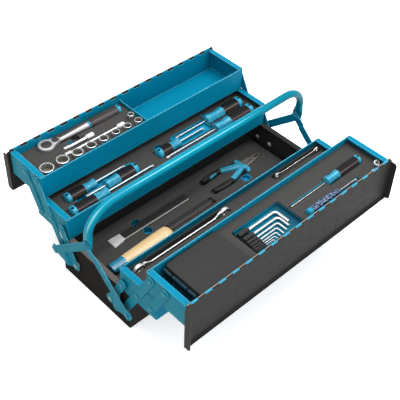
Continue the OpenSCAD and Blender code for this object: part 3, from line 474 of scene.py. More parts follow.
def bolster(name):
    """Blue moulding that is lighter, as if lit through, in streaks along it."""
    f = Finish(name)
    a, b, _ = f.tool()
    streak = (f.angle(a, b) * 6.0).sin() * 0.25 + f.noise(7.0, 2.0)
    return f.finish(
        f.mix(streak.step(0.45, 0.95), (0.012, 0.20, 0.31), (0.08, 0.35, 0.47)), 0.28,
        normal=f.grain(1.5, 0.02, 0.5), shine=0.25,
    )


def sockets_chrome(name):
    """Chrome plate darkened by painted shade down its bores, which are also rougher and less metallic:
    the piece's third number is the depth down the bore.
    """
    f = Finish(name)
    haze = f.noise(5.0, 3.0, 0.6)
    inside = f.tool()[2].step(0.8, 2.6)
    bright = f.mix(haze, 0.95, (0.85, 0.85, 0.86))
    return f.finish(
        f.mix(inside, bright, (0.20, 0.19, 0.165)), 0.14 + 0.12 * haze + 0.3 * inside,
        1.0 - 0.6 * inside, f.grain(2.0, 0.01),
    )


def chisel_steel(name, bare_x, line_y, highlight_colour):
    """Black lacquer over forged steel, ground bare left of bare_x towards the cutting edge, with a
    painted highlight on a facet along the near side, patchy with the rub noise: what faces up and has y
    below line_y."""
    f = Finish(name)
    x, y, _ = f.xyz()
    rub = f.noise(7.0, 4.0, 0.65)
    facet = y.fall(line_y - 0.3, line_y + 0.3) * f.facing()[2].step(0.2, 0.4) * (0.5 + 0.5 * rub)
    bare = x.fall(bare_x - 0.3, bare_x + 0.3)
    black = f.mix(facet, f.mix(rub, 0.010, 0.020), highlight_colour)
    return f.finish(
        f.mix(bare, black, (0.54, 0.54, 0.52)), 0.45 + 0.15 * rub, 0.25 * bare,
        f.bump(rub, 0.03, f.rounded(0.5)), shine=0.2,
    )


# -------- the materials

# light and dark tones, and the colour of the painted edge highlight
PETROL = (0.0, 0.175, 0.290), (0.0, 0.162, 0.270), (0.22, 0.66, 0.80)
SOOT = (0.0190, 0.0188, 0.0180), (0.0184, 0.0182, 0.0174), (0.06, 0.06, 0.056)
# painted shade for the blue faces towards -x
PETROL_SHADED_SIDE = 0.0, (0.0, 0.138, 0.19)
BLUE = powder_coat("petrol_blue_powder_coat", *PETROL, 0.45, 0.05, left=PETROL_SHADED_SIDE)
# the hinge knuckles' upward faces are paler: a painted highlight
FRONT_BLUE = powder_coat(
    "blue_with_pale_knuckles", *PETROL, 0.45, 0.05,
    wear_and_highlight=(HINGE_TOP - 1.2, BEYOND, (0.045, 0.24, 0.34), 0.2), left=PETROL_SHADED_SIDE,
)
GLOSS_BLUE = powder_coat("glossy_petrol_blue", *PETROL[:2], PETROL[0], 0.14, 0.1, left=PETROL_SHADED_SIDE)
# the handle's highlight line, glint and darker right leg are painted light and shade
TUBE_BLUE = powder_coat(
    "handle_blue", (0.0, 0.21, 0.305), (0.0, 0.19, 0.285), PETROL[2], 0.2, 0.06, painted_sheen=True
)
BLACK = powder_coat("black_powder_coat", *SOOT, 0.5, 0.06)
BASE_BLACK = powder_coat(
    "black_with_pale_rim_tops", (0.031, 0.0305, 0.030), (0.029, 0.0285, 0.028), SOOT[2], 0.5, 0.0,
    # paler brownish grey on the rim's upward faces at the left end
    wear_and_highlight=(BASE_RIM, LEFT_WALL, (0.105, 0.092, 0.083), 0.955),
    # painted shade on the base's outer left face
    left=(LEFT_WALL, (0.019, 0.0175, 0.0165)),
)
# the hinge knuckles' upward faces are cream: a painted highlight
KNUCKLE_HIGHLIGHT_BLACK = powder_coat(
    "black_with_painted_knuckle_highlight", *SOOT, 0.5, 0.06,
    wear_and_highlight=(HINGE_TOP + 0.8, BEYOND, (0.30, 0.275, 0.23), 0.955),
)
ZINC = zinc("zinc_plate", 266.0)
GRIP = plastic("black_soft_grip", (0.022, 0.021, 0.020), (0.014, 0.0135, 0.013), 0.5, 0.5)
GREY = plastic("dark_grey_case", (0.026, 0.026, 0.0255), (0.0225, 0.0225, 0.022), 0.5, 0.8, 0.12)
GUARD = plastic("light_blue_guard", (0.05, 0.31, 0.44), (0.015, 0.23, 0.35), 0.28, 0.9, 0.3)
HINGE = plastic("dark_blue_hinge", (0.006, 0.035, 0.05), (0.004, 0.02, 0.03), 0.35, 1.2)
TEAL = plastic("blue_moulding", (0.01, 0.25, 0.38), (0.005, 0.21, 0.33), 0.3, 0.9)
CAP = holed_cap("blue_cap_with_hole")
BOLSTER = bolster("light_blue_bolster")
STRIPED = striped_grip("striped_two_part_grip")
RIBBED = ribbed_grip("ribbed_grip")
SATIN = chrome("satin_chrome", 0.40, 0.40, 0.75)
DULL = chrome("dulled_blade", 0.36, 0.3, 0.9)
BRIGHT = chrome("bright_chrome", 0.62, 0.3, 0.7)
# the ring spanners' flanks are painted shade
POLISHED = shaded_flank_chrome("polished_shank")
BLADE = blade_with_painted_flanks("bright_blade")
BORED = sockets_chrome("chrome_with_painted_shade_in_bores")
TRAY_BLUE = dark_lipped("blue_tray_plastic", top_of("hex_key_holder"), -84.5, -TOP_Y - 86.5)
FLAT_CHISEL = chisel_steel("chisel_with_bare_blade", -156.0, 46.8, (0.40, 0.385, 0.36))
CAPE_CHISEL = chisel_steel("chisel_with_painted_side_highlight", -BEYOND, 8.4, (0.085, 0.07, 0.062))
CLEAR_NAVY = clear_body("dark_blue_clear_plastic")
TOOL = black_steel("black_tool_steel")
PLIER_STEEL = ground_steel("ground_plier_steel")
ASH = ash("lacquered_ash", -195.0)

SKIN = {"base_foam": 12.0, "front_middle_foam": 30.0, "back_top_foam": 11.0}
USUAL_SKIN = 4.0
ROUND, SOFT, SQUARE = 2.0, 5.0, 8.0
# x, y, half length, half width, power, colour
# the darker blues and the black paint the shade down in the holes and pockets
MARKS = {
    "back_middle_foam": (
        (-176.0, 116.0, 31.0, 3.6, SOFT, (0.0, 0.25, 0.42)),
        (-74.5, 131.5, 10.5, 5.5, ROUND, (0.0, 0.15, 0.21)),
        (6.0, 131.3, 9.8, 9.8, ROUND, (0.0, 0.12, 0.17)),
        (-200.0, 115.3, 11.8, 11.8, ROUND, (0.0, 0.17, 0.27)),
        (150.0, 143.3, 9.8, 9.8, ROUND, (0.0, 0.12, 0.17)),
        (89.0, 122.8, 47.5, 18.5, SQUARE, (0.0, 0.16, 0.24)),
        (-145.0, 129.8, 35.0, 9.5, SQUARE, (0.0, 0.20, 0.32)),
    ),
    "back_top_foam": ((-147.5, 208.5, 14.0, 4.2, SOFT, (0.0, 0.075, 0.13)),),
    "front_top_foam": (
        (90.0, -TOP_Y - 45.6, 48.0, 1.5, SOFT, (0.0, 0.12, 0.18)),
        (186.0, -TOP_Y - 80.0, 9.0, 3.4, ROUND, (0.0, 0.045, 0.06)),
    ),
    "base_foam": (
        (158.0, 28.5, 8.0, 7.8, ROUND, (0.004, 0.004, 0.004)),
        (151.0, 13.0, 10.5, 8.5, SOFT, (0.0, 0.17, 0.33)),
        (-111.0, 65.3, 11.6, 11.6, ROUND, (0.0, 0.11, 0.15)),
        (-106.0, 35.4, 9.6, 9.6, ROUND, (0.0, 0.13, 0.21)),
    ),
}

# what isn't listed is blue
LOOKS = {
    "base_shell": BASE_BLACK, "front_lid": KNUCKLE_HIGHLIGHT_BLACK, "back_lid": BLACK,
    "front_top_tray": FRONT_BLUE, "flat_chisel": FLAT_CHISEL, "cape_chisel": CAPE_CHISEL,
    "screwdriver_blades": BLADE, "slim_screwdriver_blade": DULL, "base_rivets": ZINC,
    "front_crank_studs": ZINC, "back_crank_studs": ZINC, "front_hinge_wire": ZINC,
    "back_hinge_wire": ZINC,
}
for part in ("front_middle", "front_top", "front_arm", "back_middle", "back_top", "back_arm"):
    LOOKS[part + "_rivets"] = GLOSS_BLUE
for part in nodes:
    if part.endswith("_foam"):
        LOOKS[part] = foam(
            part + "_layers", top_of(part), MARKS.get(part, ()), SKIN.get(part, USUAL_SKIN)
        )
for part, node in nodes.items():
    node.data.materials.clear()
    node.data.materials.append(LOOKS.get(part, BLUE))


# -------- meshes worked out on grids


def ease(x, low, high):
    """0 below low, 1 above high, with the smooth cubic 3t^2 - 2t^3 between."""
    t = np.clip((x - low) / (high - low), 0.0, 1.0)
    return t * t * (3.0 - 2.0 * t)


def between(x, low, rise, high, fall):
    """Eases in over rise from low and out over fall up to high."""
    return ease(x, low, low + rise) * (1.0 - ease(x, high - fall, high))


def through(table, x):
    """Straight lines through a table of (place, value) pairs."""
    place, value = np.array(table, float).T
    return np.interp(x, place, value)


def spans(*runs):
    """Evenly spaced numbers over several runs, each (from, to, how many)."""
    return np.concatenate([np.linspace(*run) for run in runs])


def together(x, y, z):
    """Three coordinates, each a number or an array, as one array of points."""
    return np.stack(np.broadcast_arrays(x, y, z), -1)


def ring_angles(around):
    return np.arange(around) * (2.0 * math.pi / around)


def broached(radius, points, depth):
    """Radius of a hole with so many corners: radius + depth |cos(n angle / 2)|^3."""
    return lambda t: radius + depth * np.abs(np.cos(points * t / 2.0)) ** 3


def quarter_round(radius, n):
    """A quarter circle in n points: (how far it is drawn in, how far it has risen)."""
    q = np.linspace(0.0, QUARTER, n)
    return radius * (1.0 - np.sin(q)), radius * (1.0 - np.cos(q))


def set_out(origin, axes, radius, angle, s):
    """Points at a radius and an angle in the plane of the first two axes, and s along the third;
    local is those three distances."""
    local = together(radius * np.cos(angle), radius * np.sin(angle), s)
    return np.asarray(origin, float) + local @ np.asarray(axes, float), local


def carried(path, wide, high, power=2.0, side=(0.0, 1.0, 0.0), around=32):
    """A superellipse |a/wide|^power + |b/high|^power = 1 carried along a path. Its wide axis is side
    made square to the path, its high axis is the path's direction crossed with that; local is
    (a, b, length along the path)."""
    path = np.asarray(path, float)
    n = len(path)
    t = np.gradient(path, axis=0)
    t /= np.linalg.norm(t, axis=1, keepdims=True)
    w = np.broadcast_to(np.asarray(side, float), (n, 3))
    w = w - t * np.sum(w * t, axis=1, keepdims=True)
    w /= np.linalg.norm(w, axis=1, keepdims=True)
    h = np.cross(t, w)
    wide, high, power = (np.broadcast_to(v, n)[:, None] for v in (wide, high, power))
    angle = ring_angles(around)
    c, s = np.cos(angle), np.sin(angle)
    a = wide * np.sign(c) * np.abs(c) ** (2.0 / power)
    b = high * np.sign(s) * np.abs(s) ** (2.0 / power)
    points = path[:, None] + a[..., None] * w[:, None] + b[..., None] * h[:, None]
    along = np.concatenate([[0.0], np.cumsum(np.linalg.norm(np.diff(path, axis=0), axis=1))])
    return points, together(a, b, along[:, None])


def turned(start, direction, places, radii, around=32, flute=None):
    """Radius radii[i] at places[i] along a straight axis; flute(angle, place) scales the radius."""
    d = np.asarray(direction, float)
    if abs(d[1]) < 0.5:
        side = np.array([0.0, 1.0 if d[0] >= 0.0 else -1.0, 0.0])
    else:
        side = np.array([1.0, 0.0, 0.0])
    t = ring_angles(around)
    places = np.asarray(places, float)[:, None]
    r = np.asarray(radii, float)[:, None] * (flute(t, places) if flute else np.ones(around))
    return set_out(start, (side, np.cross(d, side), d), r, t, places)


def plate(centre, outline, hole, half, edge, across=(0, 1, 0), around=72):
    """A flat ring of half thickness half: for each angle the section runs from the hole out over the
    face, round the edge (a quarter circle of radius edge), back under the plate and up the hole.
    outline and hole give the radius for an angle."""
    chamfer = 0.3
    t = ring_angles(around)
    outer, inner = outline(t) + 0.0 * t, hole(t) + 0.0 * t
    drawn, sunk = quarter_round(edge, 5)
    rim = outer - np.concatenate([drawn, drawn[::-1]])[:, None]
    face, lip = 0.5 * (inner + outer - edge), inner + chamfer
    rows = np.vstack([lip, face, rim, face, lip, inner, inner])
    z = np.concatenate([
        [half, half], half - sunk, (sunk - half)[::-1], [-half, -half, chamfer - half, half - chamfer]
    ])
    axes = (1, 0, 0), across, np.cross((1, 0, 0), across)
    points, local = set_out(centre, axes, rows, t, z[:, None])
    return points[::-1], local[::-1]


def rounded_rings(low, high, corner, inset, z, around):
    """Rings round an upright box with rounded corners: ring i is drawn in by inset[i] at z[i]."""
    low, high = np.asarray(low, float), np.asarray(high, float)
    mid, half = (low + high) / 2.0, (high - low) / 2.0
    t = ring_angles(around)
    edge = np.stack([np.cos(t), np.sin(t)], -1)
    edge /= np.max(np.abs(edge) / half, axis=1, keepdims=True)
    core = np.clip(edge, corner - half, half - corner)
    out = edge - core
    out /= np.maximum(np.linalg.norm(out, axis=1, keepdims=True), 1e-6)
    flat = mid + core + (corner - inset)[:, None, None] * out
    points = np.concatenate([flat, np.broadcast_to(z[:, None, None], (len(z), around, 1))], -1)
    return points, points.copy()


def cushion_box(low, high, corner, fillet):
    """A box of rounded rectangular outline, drawn in by a quarter circle at the top and bottom."""
    drawn, risen = quarter_round(fillet, 6)
    z = np.concatenate([low[2] + risen, (high[2] - risen)[::-1]])
    return rounded_rings(low[:2], high[:2], corner, np.concatenate([drawn, drawn[::-1]]), z, 96)


class Piece:
    """Grids of points in millimetres, gathered into one mesh that rides on a body."""

    def __init__(self):
        self.points, self.local, self.faces, self.count = [], [], [], 0

    def add(self, grid, loop=False):
        """grid is (points, local): ring i of points[i, j] is joined to the next, and to the first if
        loop; each open end is closed by a fan round its middle."""
        points, local = grid
        rings, around = points.shape[:2]
        i = np.arange(rings if loop else rings - 1)[:, None]
        j = np.arange(around)
        k = (j + 1) % around
        here, after = i * around, ((i + 1) % rings) * around
        quads = np.stack([here + j, here + k, after + k, after + j], -1).reshape(-1, 4) + self.count
        self.faces += quads.tolist()
        self.points.append(points.reshape(-1, 3))
        self.local.append(local.reshape(-1, 3))
        base, self.count = self.count, self.count + rings * around
        if not loop:
            for ring, first, second in ((0, k, j), (rings - 1, j, k)):
                self.points.append(points[ring].mean(axis=0)[None])
                self.local.append(local[ring].mean(axis=0)[None])
                start = base + ring * around
                self.faces += together(self.count, start + first, start + second).tolist()
                self.count += 1
        return self

    def make(self, name, body, slot, material, *stands_for, sharp=35.0):
        """The mesh rides on the body and replaces the solids it stands for."""
        mesh = bpy.data.meshes.new(name)
        points = np.concatenate(self.points) * MM
        mesh.from_pydata(points.tolist(), [], self.faces)
        layer = mesh.attributes.new("tool", "FLOAT_VECTOR", "POINT")
        layer.data.foreach_set("vector", np.concatenate(self.local).astype(np.float32).ravel())
        mesh.polygons.foreach_set("use_smooth", np.ones(len(mesh.polygons), bool))
        mesh.set_sharp_from_angle(angle=math.radians(sharp))
        mesh.update()
        obj = bpy.data.objects.new(name, mesh)
        scene.collection.objects.link(obj)
        obj.data.materials.append(material)
        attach(obj, body)
        if stands_for:
            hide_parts(*stands_for)


# -------- pieces


def single(grid, *details):
    """A piece made of one grid; the details are those of Piece.make."""
    Piece().add(grid).make(*details)


def carry_handle():
    """One tube bent twice: a circle of 8 mm radius that flattens into a slab at both pivots."""
    left, right, grip, bend = -274.4, 281.4, 86.98, 58.0
    tube, eye, slab, lean = 8.0, 12.0, 1.4, math.radians(5.8)
    t = np.linspace(0.0, QUARTER, 20)
    foot = -eye * np.cos(np.linspace(0.08, QUARTER, 9))
    leg = np.concatenate([foot, np.linspace(3.0, grip - bend - 1.5, 11)])
    inwards, upwards = bend * (1.0 - np.cos(t)), grip - bend + bend * np.sin(t)
    middle = np.linspace(left + bend + 20.0, right - bend - 20.0, 12)
    still = np.zeros(leg.size)
    x = np.concatenate([left + still, left + inwards, middle, (right - inwards)[::-1], right + still])
    z = np.concatenate([leg, upwards, np.full(middle.size, grip), upwards[::-1], leg[::-1]])
    flat = 1.0 - ease(z, eye, grip - bend)
    wide = np.where(z < 0, np.sqrt(np.maximum(eye * eye - z * z, 0.2)), tube + (eye - tube) * flat)
    high = tube + (slab - tube) * flat
    path = together(x, -z * math.sin(lean), HANDLE_PIVOT + z * math.cos(lean))
    single(
        carried(path, wide, high, 2.0 + 6.0 * flat, around=40),
        "bent_tube_handle", "handle", "blue_paint", TUBE_BLUE, "handle",
    )


# cap end, direction, depth in the tray, length of grip and collar, diameter
SCREWDRIVERS = (
    (-241, 1, 22.5, 58, 32, 26), (-227, 1, 58, 44, 28, 23), (-65.5, -1, 39.2, 47.5, 32, 27),
    (-12, 1, 40.5, 36, 25, 25), (243, -1, 57, 55, 50, 30), (244, -1, 23, 67, 42, 30),
)


def lobes(depth, start, end):
    """Six flats that fade in and out along the grip: the radius times 1 - depth sin^2(3 angle)."""
    def flute(angle, place):
        return 1.0 - depth * between(place, start, 6.0, end, 8.0) * np.sin(3.0 * angle) ** 2
    return flute


def cap_grid(start, direction, d):
    """A rounded cap of diameter d with a pit where the hanging hole runs through it: points nearer to
    the hole's middle line than its radius are pushed down by the pit's depth; local is over d."""
    full, crown, hole, deep = 0.48 * d, 0.16 * d, 0.10 * d, 0.3 * d
    s = np.linspace(0.005, 0.43, 40) * d
    r = full * np.maximum(np.sqrt(1.0 - np.clip(1.0 - s / crown, 0, 1) ** 2), 0.15)
    points, local = turned(start, direction, s, r, around=88)
    away = np.hypot(local[..., 0], local[..., 2] - HOLE_AT * d)
    pit = deep * (1.0 - ease(away, hole, 1.3 * hole))
    points[..., 2] -= np.where(local[..., 1] > 0, pit, 0.0)
    return points, local / d


def grip_grid(start, direction, d, grip):
    """A barrel with six soft flats: narrower at the cap, widest in the middle, narrow at the collar."""
    s = spans((0.42 * d, 0.64 * d, 8), (0.68 * d, 0.8 * grip, 14), (0.84 * grip, grip, 9))
    r = d * through([
        (0.42 * d, 0.44), (0.47 * d, 0.475), (0.64 * d, 0.5), (0.75 * grip, 0.5), (0.93 * grip, 0.47),
        (grip, 0.42),
    ], s)
    return turned(start, direction, s, r, around=72, flute=lobes(0.1, 0.4 * d, grip))


def collar_grid(start, direction, d, grip, collar):
    """A waist that flares to a rounded bolster at the blade end."""
    s = np.linspace(0.0, 1.0, 26)
    r = d * through([
        (0, 0.42), (0.08, 0.425), (0.3, 0.37), (0.5, 0.355), (0.7, 0.39), (0.88, 0.43), (0.95, 0.42),
        (0.985, 0.36), (1, 0.24),
    ], s)
    return turned(start, direction, grip + s * collar, r, around=48)


def screwdrivers():
    """Six in the back middle tray, and a small one in the front top tray."""
    caps, grips, collars = Piece(), Piece(), Piece()
    for x, way, depth, grip, collar, d in SCREWDRIVERS:
        start, direction = (x, MID_Y + depth, MID_Z + TRAY_HEIGHT - d / 2 - 1), (way, 0, 0)
        caps.add(cap_grid(start, direction, d))
        grips.add(grip_grid(start, direction, d, grip))
        collars.add(collar_grid(start, direction, d, grip, collar))
    caps.make("screwdriver_end_caps", "back_middle", "blue_plastic", CAP, "screwdriver_caps")
    grips.make("screwdriver_soft_grips", "back_middle", "black_grip", STRIPED, "screwdriver_grips")
    collars.make("screwdriver_bolsters", "back_middle", "blue_plastic", BOLSTER, "screwdriver_collars")
    d, grip, start, way = 22.0, 65.0, (236.0, -TOP_Y - 48.5, TOP_FOAM + 0.5), (-1, 0, 0)
    single(
        collar_grid(start, way, d, grip, 34.0),
        "slim_bolster", "front_top", "blue_plastic", BOLSTER, "slim_screwdriver_grip",
    )
    single(grip_grid(start, way, d, grip), "slim_soft_grip", "front_top", "black_grip", STRIPED)
    single(cap_grid(start, way, d), "slim_end_cap", "front_top", "blue_plastic", CAP)


def tester():
    """A clear round body with a bright cap, stepping down to a neck round a flat-tipped blade."""
    start, way = (48.0, -TOP_Y - 82.0, TOP_FOAM + 0.8), (1, 0, 0)
    neck, nose, blade_from, blade = 11.0, 92.0, 90.0, 50.0
    s = np.linspace(0.0, neck, 18)
    r = 7.8 * np.minimum(1.0, np.sqrt(np.clip(s + 0.3, 0, 2.6) / 2.6))
    single(turned(start, way, s, r), "tester_cap", "front_top", "blue_plastic", TEAL)
    s = np.linspace(neck, nose, 60)
    r = 9.0 * through([
        (11, 0.84), (12, 0.9), (14.5, 1), (64, 1), (69, 0.88), (74, 0.6), (78, 0.74), (84, 0.7),
        (91, 0.5), (92, 0.4),
    ], s)
    single(
        turned(start, way, s, r, around=40, flute=lobes(0.06, 14.0, 66.0)),
        "tester_body", "front_top", "dark_blue_plastic", CLEAR_NAVY, "voltage_tester",
    )
    s = np.linspace(0.0, 1.0, 30)
    path = np.array(start) + np.outer(blade_from + blade * s, way)
    wide, high = 1.7 + 0.9 * ease(s, 0.8, 0.95), 1.7 - 1.2 * ease(s, 0.75, 1.0)
    single(
        carried(path, wide, high, 2.4, around=24),
        "tester_blade_flat", "front_top", "chrome", DULL, "tester_blade",
    )


def bit_ring():
    """A small socket that leans in its pocket, its mouth up and forwards, and the tip of a bit."""
    t = ring_angles(48)
    outer = np.full(48, 6.3)
    inner = broached(3.7, 6, 0.3)(t)
    middle, chamfer = np.full(48, 0.3), 0.6
    rows = np.vstack([
        middle, outer - chamfer, outer, outer, outer - chamfer, inner + chamfer, inner, inner, middle
    ])
    s = np.array([-14.0, -14.0, -13.4, -0.6, 0.0, 0.0, -0.6, -9.0, -9.0])
    lean = np.array([-0.2, -0.42, 0.885])
    side = np.cross(lean, (0.0, 1.0, 0.0))
    side /= np.linalg.norm(side)
    axes = side, np.cross(lean, side), lean
    mouth = (250.0, -TOP_Y - 83.0, TOP_FOAM + 6.0)
    ring = Piece().add(set_out(mouth, axes, rows, t, s[:, None]))
    start = (228.0, -TOP_Y - 88.0, TOP_FOAM)
    ring.add(turned(start, (1, 0, 0), [0.0, 0.6, 6.4, 7.0], [1.4, 2.0, 2.0, 1.4], around=24))
    ring.make("bit_ring", "front_top", "chrome", BRIGHT, "bit_socket")


def wooden_handle():
    """An oval that swells towards the rounded end, carried along a straight line."""
    s = np.concatenate([np.linspace(0.0, 0.9, 40), 0.9 + 0.1 * np.sin(np.linspace(0.1, 1.5, 14))])
    swell = through([(0, 0.67), (0.21, 0.76), (0.57, 0.91), (0.8, 0.99), (0.9, 1.0), (1, 1.0)], s)
    end = np.sqrt(1.0 - np.clip((s - 0.9) / 0.1005, 0, 1) ** 2.6)
    full = swell * np.maximum(end, 0.3) * np.where(s < 0.012, 0.95, 1.0)
    path = together(-227.0 + 151.0 * s, 0.0, BASE_FOAM + 6.0)
    single(
        carried(path, 16.5 * full, 11.5 * full, 2.3, around=48),
        "turned_ash_handle", "base", "ash_wood", ASH, "wood_handle",
    )


PLIER_PIVOT = np.array([172.0, 48.0, BASE_FOAM - 1.5])
# three points in plan, (share of the length, half width) pairs, half height, level if not the usual
GUARDS = (
    ([(120.5, 63.8), (141.0, 56.5), (173.0, 46.5)], [(0, 5.8), (0.08, 7.0), (0.5, 8.0), (1, 7.4)], 6.0),
    ([(166.5, 46.0), (169.0, 55.0), (166.5, 65.0)], [(0, 7.0), (0.5, 6.6), (0.8, 5.8), (1, 4.6)], 5.4),
    ([(122.5, 27.5), (141.0, 32.0), (172.0, 43.5)], [(0, 5.0), (0.08, 6.2), (0.5, 6.6), (1, 6.0)], 6.0),
    ([(166.0, 43.5), (173.5, 32.0), (165.0, 20.0)], [(0, 7.0), (0.5, 5.0), (1, 3.6)], 5.4),
    ([(87.0, 59.0), (98.0, 61.0), (108.0, 61.2)], [(0, 2.0), (0.3, 3.0), (1, 2.2)], 2.6, 4.0),
)
SLEEVES = (
    ([(124.0, 62.5), (100.0, 66.5), (69.0, 62.5)], [(0, 5.0), (0.2, 5.8), (0.8, 6.0), (1, 4.6)], 5.6),
    ([(126.0, 27.0), (104.0, 23.5), (69.0, 27.5)], [(0, 4.8), (0.2, 5.2), (0.8, 5.6), (1, 4.2)], 5.6),
)


def curve(points, n):
    """n points on the quadratic curve through three points."""
    p = np.asarray(points, float)
    t = np.linspace(0.0, 1.0, n)[:, None]
    first, second = np.linalg.norm(p[1] - p[0]), np.linalg.norm(p[2] - p[1])
    k = first / (first + second)
    middle = (p[1] - (1 - k) ** 2 * p[0] - k * k * p[2]) / (2 * k * (1 - k))
    return (1 - t) ** 2 * p[0] + 2 * t * (1 - t) * middle + t * t * p[2]


def plier_tube(points, wide, high, level=0.5):
    """A flattened tube along a smooth line through three points in plan, rounded at both ends; level
    is its height over the foam."""
    n = 44
    share = np.linspace(0.0, 1.0, n)
    path = together(*curve(points, n).T, BASE_FOAM + level)
    end = np.sqrt(1.0 - np.clip(np.abs(share - 0.5) * 2.0 - 0.93, 0, 0.068) ** 2 / 0.07 ** 2)
    return carried(path, through(wide, share) * end, high * end, 2.8, around=36)


def combination_pliers():
    """Two jaws of nearly triangular plan with an oval eye between them, and bow-shaped handles."""
    steel, guards, sleeves = Piece(), Piece(), Piece()
    x = spans((-13, 36, 50), (38, 61, 18))
    eye = 2.0 * np.sqrt(np.clip(1 - ((x - 44.0) / 8.0) ** 2, 0, 1))
    jaw = through([
        (-14, 2), (-9, 9), (0, 12), (11, 10.5), (20, 7.6), (40, 4.6), (58, 1.9), (61, 1.2)
    ], x)
    cheek = through([(-14, 0), (0, 0), (12, 0.6), (24, 3.2), (40, 2.0), (58, 0.2), (61, 0)], x)
    for level, half, outer in ((-2.0, 4.0, jaw), (2.2, 1.7, jaw + cheek)):
        inner = 0.25 + np.minimum(eye, outer * 0.6)
        for side in (1, -1):
            path = PLIER_PIVOT + together(x, side * (inner + outer) / 2, level)
            high = np.minimum(half, 0.35 + outer)
            steel.add(carried(path, (outer - inner) / 2, high, 4.0, around=28))
    steel.add(turned(PLIER_PIVOT, (0, 0, 1), [-4.5, 4.3, 4.6], [10.6, 10.6, 10.2], around=40))
    for tube in GUARDS:
        guards.add(plier_tube(*tube))
    for tube in SLEEVES:
        sleeves.add(plier_tube(*tube))
    steel.make("plier_head", "base", "black_steel", PLIER_STEEL, "pliers")
    guards.make("plier_guards", "base", "blue_plastic", GUARD)
    sleeves.make("plier_sleeves", "base", "black_grip", GRIP, "plier_grips")


def ring_spanners():
    """Two rings on edge, sunk so that their tops show, and a shank that leaves each near its top and
    dips to run straight between them."""
    steel = Piece()
    for x0, x1, d, deep in ((-232.0, -21.0, 25.0, 7.4), (125.5, 245.0, 10.5, 3.0)):
        y, z = -(MID_Y + 14.0), MID_Z + FOAM_HEIGHT + 9.0 - d / 2
        hole, root, raised = broached(0.32 * d, 12, 0.012 * d), 0.42, 0.26 * d
        for x in (x0, x1):
            ring = plate((x, y, z), lambda t: d / 2, hole, deep / 2, 0.05 * d, across=(0, 0, 1))
            steel.add(ring, loop=True)
        x = np.linspace(x0 + root * d, x1 - root * d, 120)
        from_end = np.minimum(x - x0, x1 - x) / d
        off, near = ease(from_end, root, 1.2), 1 - ease(from_end, root, 0.9)
        path = together(x, y - off, z + raised - off * (raised - 1.5))
        steel.add(carried(path, d * (0.075 + 0.07 * near), d * (0.10 + 0.08 * near), 2.3, around=28))
    steel.make("offset_ring_spanners", "front_middle", "chrome", POLISHED, "ring_spanners")


def ratchet():
    """A pear-shaped head, radius 17 with a Gaussian swell towards the widening shank."""
    at, way, up = np.array([-196.0, TOP_Y + 80.0, TOP_FOAM + 1.0]), (1, 0, 0), (0, 0, 1)

    def pear(t):
        return 17.0 + 15.0 * np.exp(-((np.minimum(t, 2 * math.pi - t) / 0.42) ** 2))

    def flat(angle, place):
        """One flat along the top and ribs everywhere else."""
        top = np.cos(angle - QUARTER)
        ribs = 0.03 * np.sin(place * 2 * math.pi / 4.6) * ease(place, 112.0, 118.0)
        return np.minimum(1.0, 0.84 / np.maximum(top, 0.2)) + ribs * (1 - ease(top, 0.6, 0.75))

    head = Piece().add(plate(at, pear, lambda t: 10.6, 6.5, 2.2, around=96), loop=True)
    s = spans((22, 99, 40), (100, 100, 1))
    r = through([(22, 5.4), (32, 4.9), (50, 5.0), (75, 5.8), (99, 6.8), (100, 6.4)], s)
    head.add(turned(at, way, s, r, around=40))
    head.make("ratchet_head_and_shank", "back_top", "chrome", SATIN, "ratchet")
    switch = Piece().add(turned(at, up, [-5.0, 4.4, 4.8], [10.4, 10.4, 9.6], around=48))
    switch.add(turned(at + (21, 0, 0), up, [5.5, 6.9, 7.2], [7.4, 7.2, 6.4], around=32))
    switch.make("ratchet_switch", "back_top", "black_steel", TOOL)
    s = np.linspace(104.0, 174.0, 96)
    r = through([
        (104, 6.9), (108, 8.0), (116, 9.6), (130, 10.2), (160, 10.4), (171, 10.2), (174, 9.4)
    ], s)
    single(
        turned(at, way, s, r, around=64, flute=flat),
        "ratchet_ribbed_grip", "back_top", "black_grip", RIBBED, "ratchet_grip",
    )
    s = np.linspace(100.0, 104.0, 9)
    r = 6.9 + 0.8 * np.sqrt(np.clip(1 - ((s - 102) / 2.05) ** 2, 0, 1))
    single(
        turned(at, way, s, r, around=48),
        "ratchet_ring", "back_top", "blue_plastic", TEAL, "ratchet_collar",
    )
    cap = cap_grid(at + (182.0, 0, 0), (-1, 0, 0), 21.0)
    single(cap, "ratchet_cap", "back_top", "blue_plastic", CAP)


def extension_bars():
    """A square drive, a round shank between two coves and a knurled head."""
    for name, node, x, y, length, d in (
        ("short_extension", "extension_bar", -174.0, 53.0, 70.0, 10.0),
        ("long_extension", "long_extension_bar", -182.0, 38.0, 144.0, 9.0),
    ):
        at = np.array([x, TOP_Y + y, TOP_FOAM - 1.0])
        shank = d / 2 - 1.6
        head, rim = length - 19, length - 0.8

        def knurl(angle, place):
            band = between(place, length - 11.5, 0.5, length - 4.5, 0.5)
            return 1.0 - 0.06 * band * (0.5 + 0.5 * np.sin(20.0 * angle + 0.8 * place))

        drive = at + np.outer([0.0, 0.4, 8.6, 9.2], (1.0, 0.0, 0.0))
        half = np.array([2.9, 3.2, 3.2, 3.2])
        s = spans((8.5, 14, 8), (16, head - 1, 20), (head, length, 24))
        r = through([
            (8.5, 3.6), (10, 4.9), (11.8, 4.9), (13.5, shank), (head, shank), (head + 4.5, 6.2),
            (rim, 6.2), (length, 5.4),
        ], s)
        steel = Piece().add(carried(drive, half, half, 12.0, around=32))
        steel.add(turned(at, (1, 0, 0), s, r, around=64, flute=knurl))
        steel.make(name, "back_top", "chrome", BRIGHT, node)


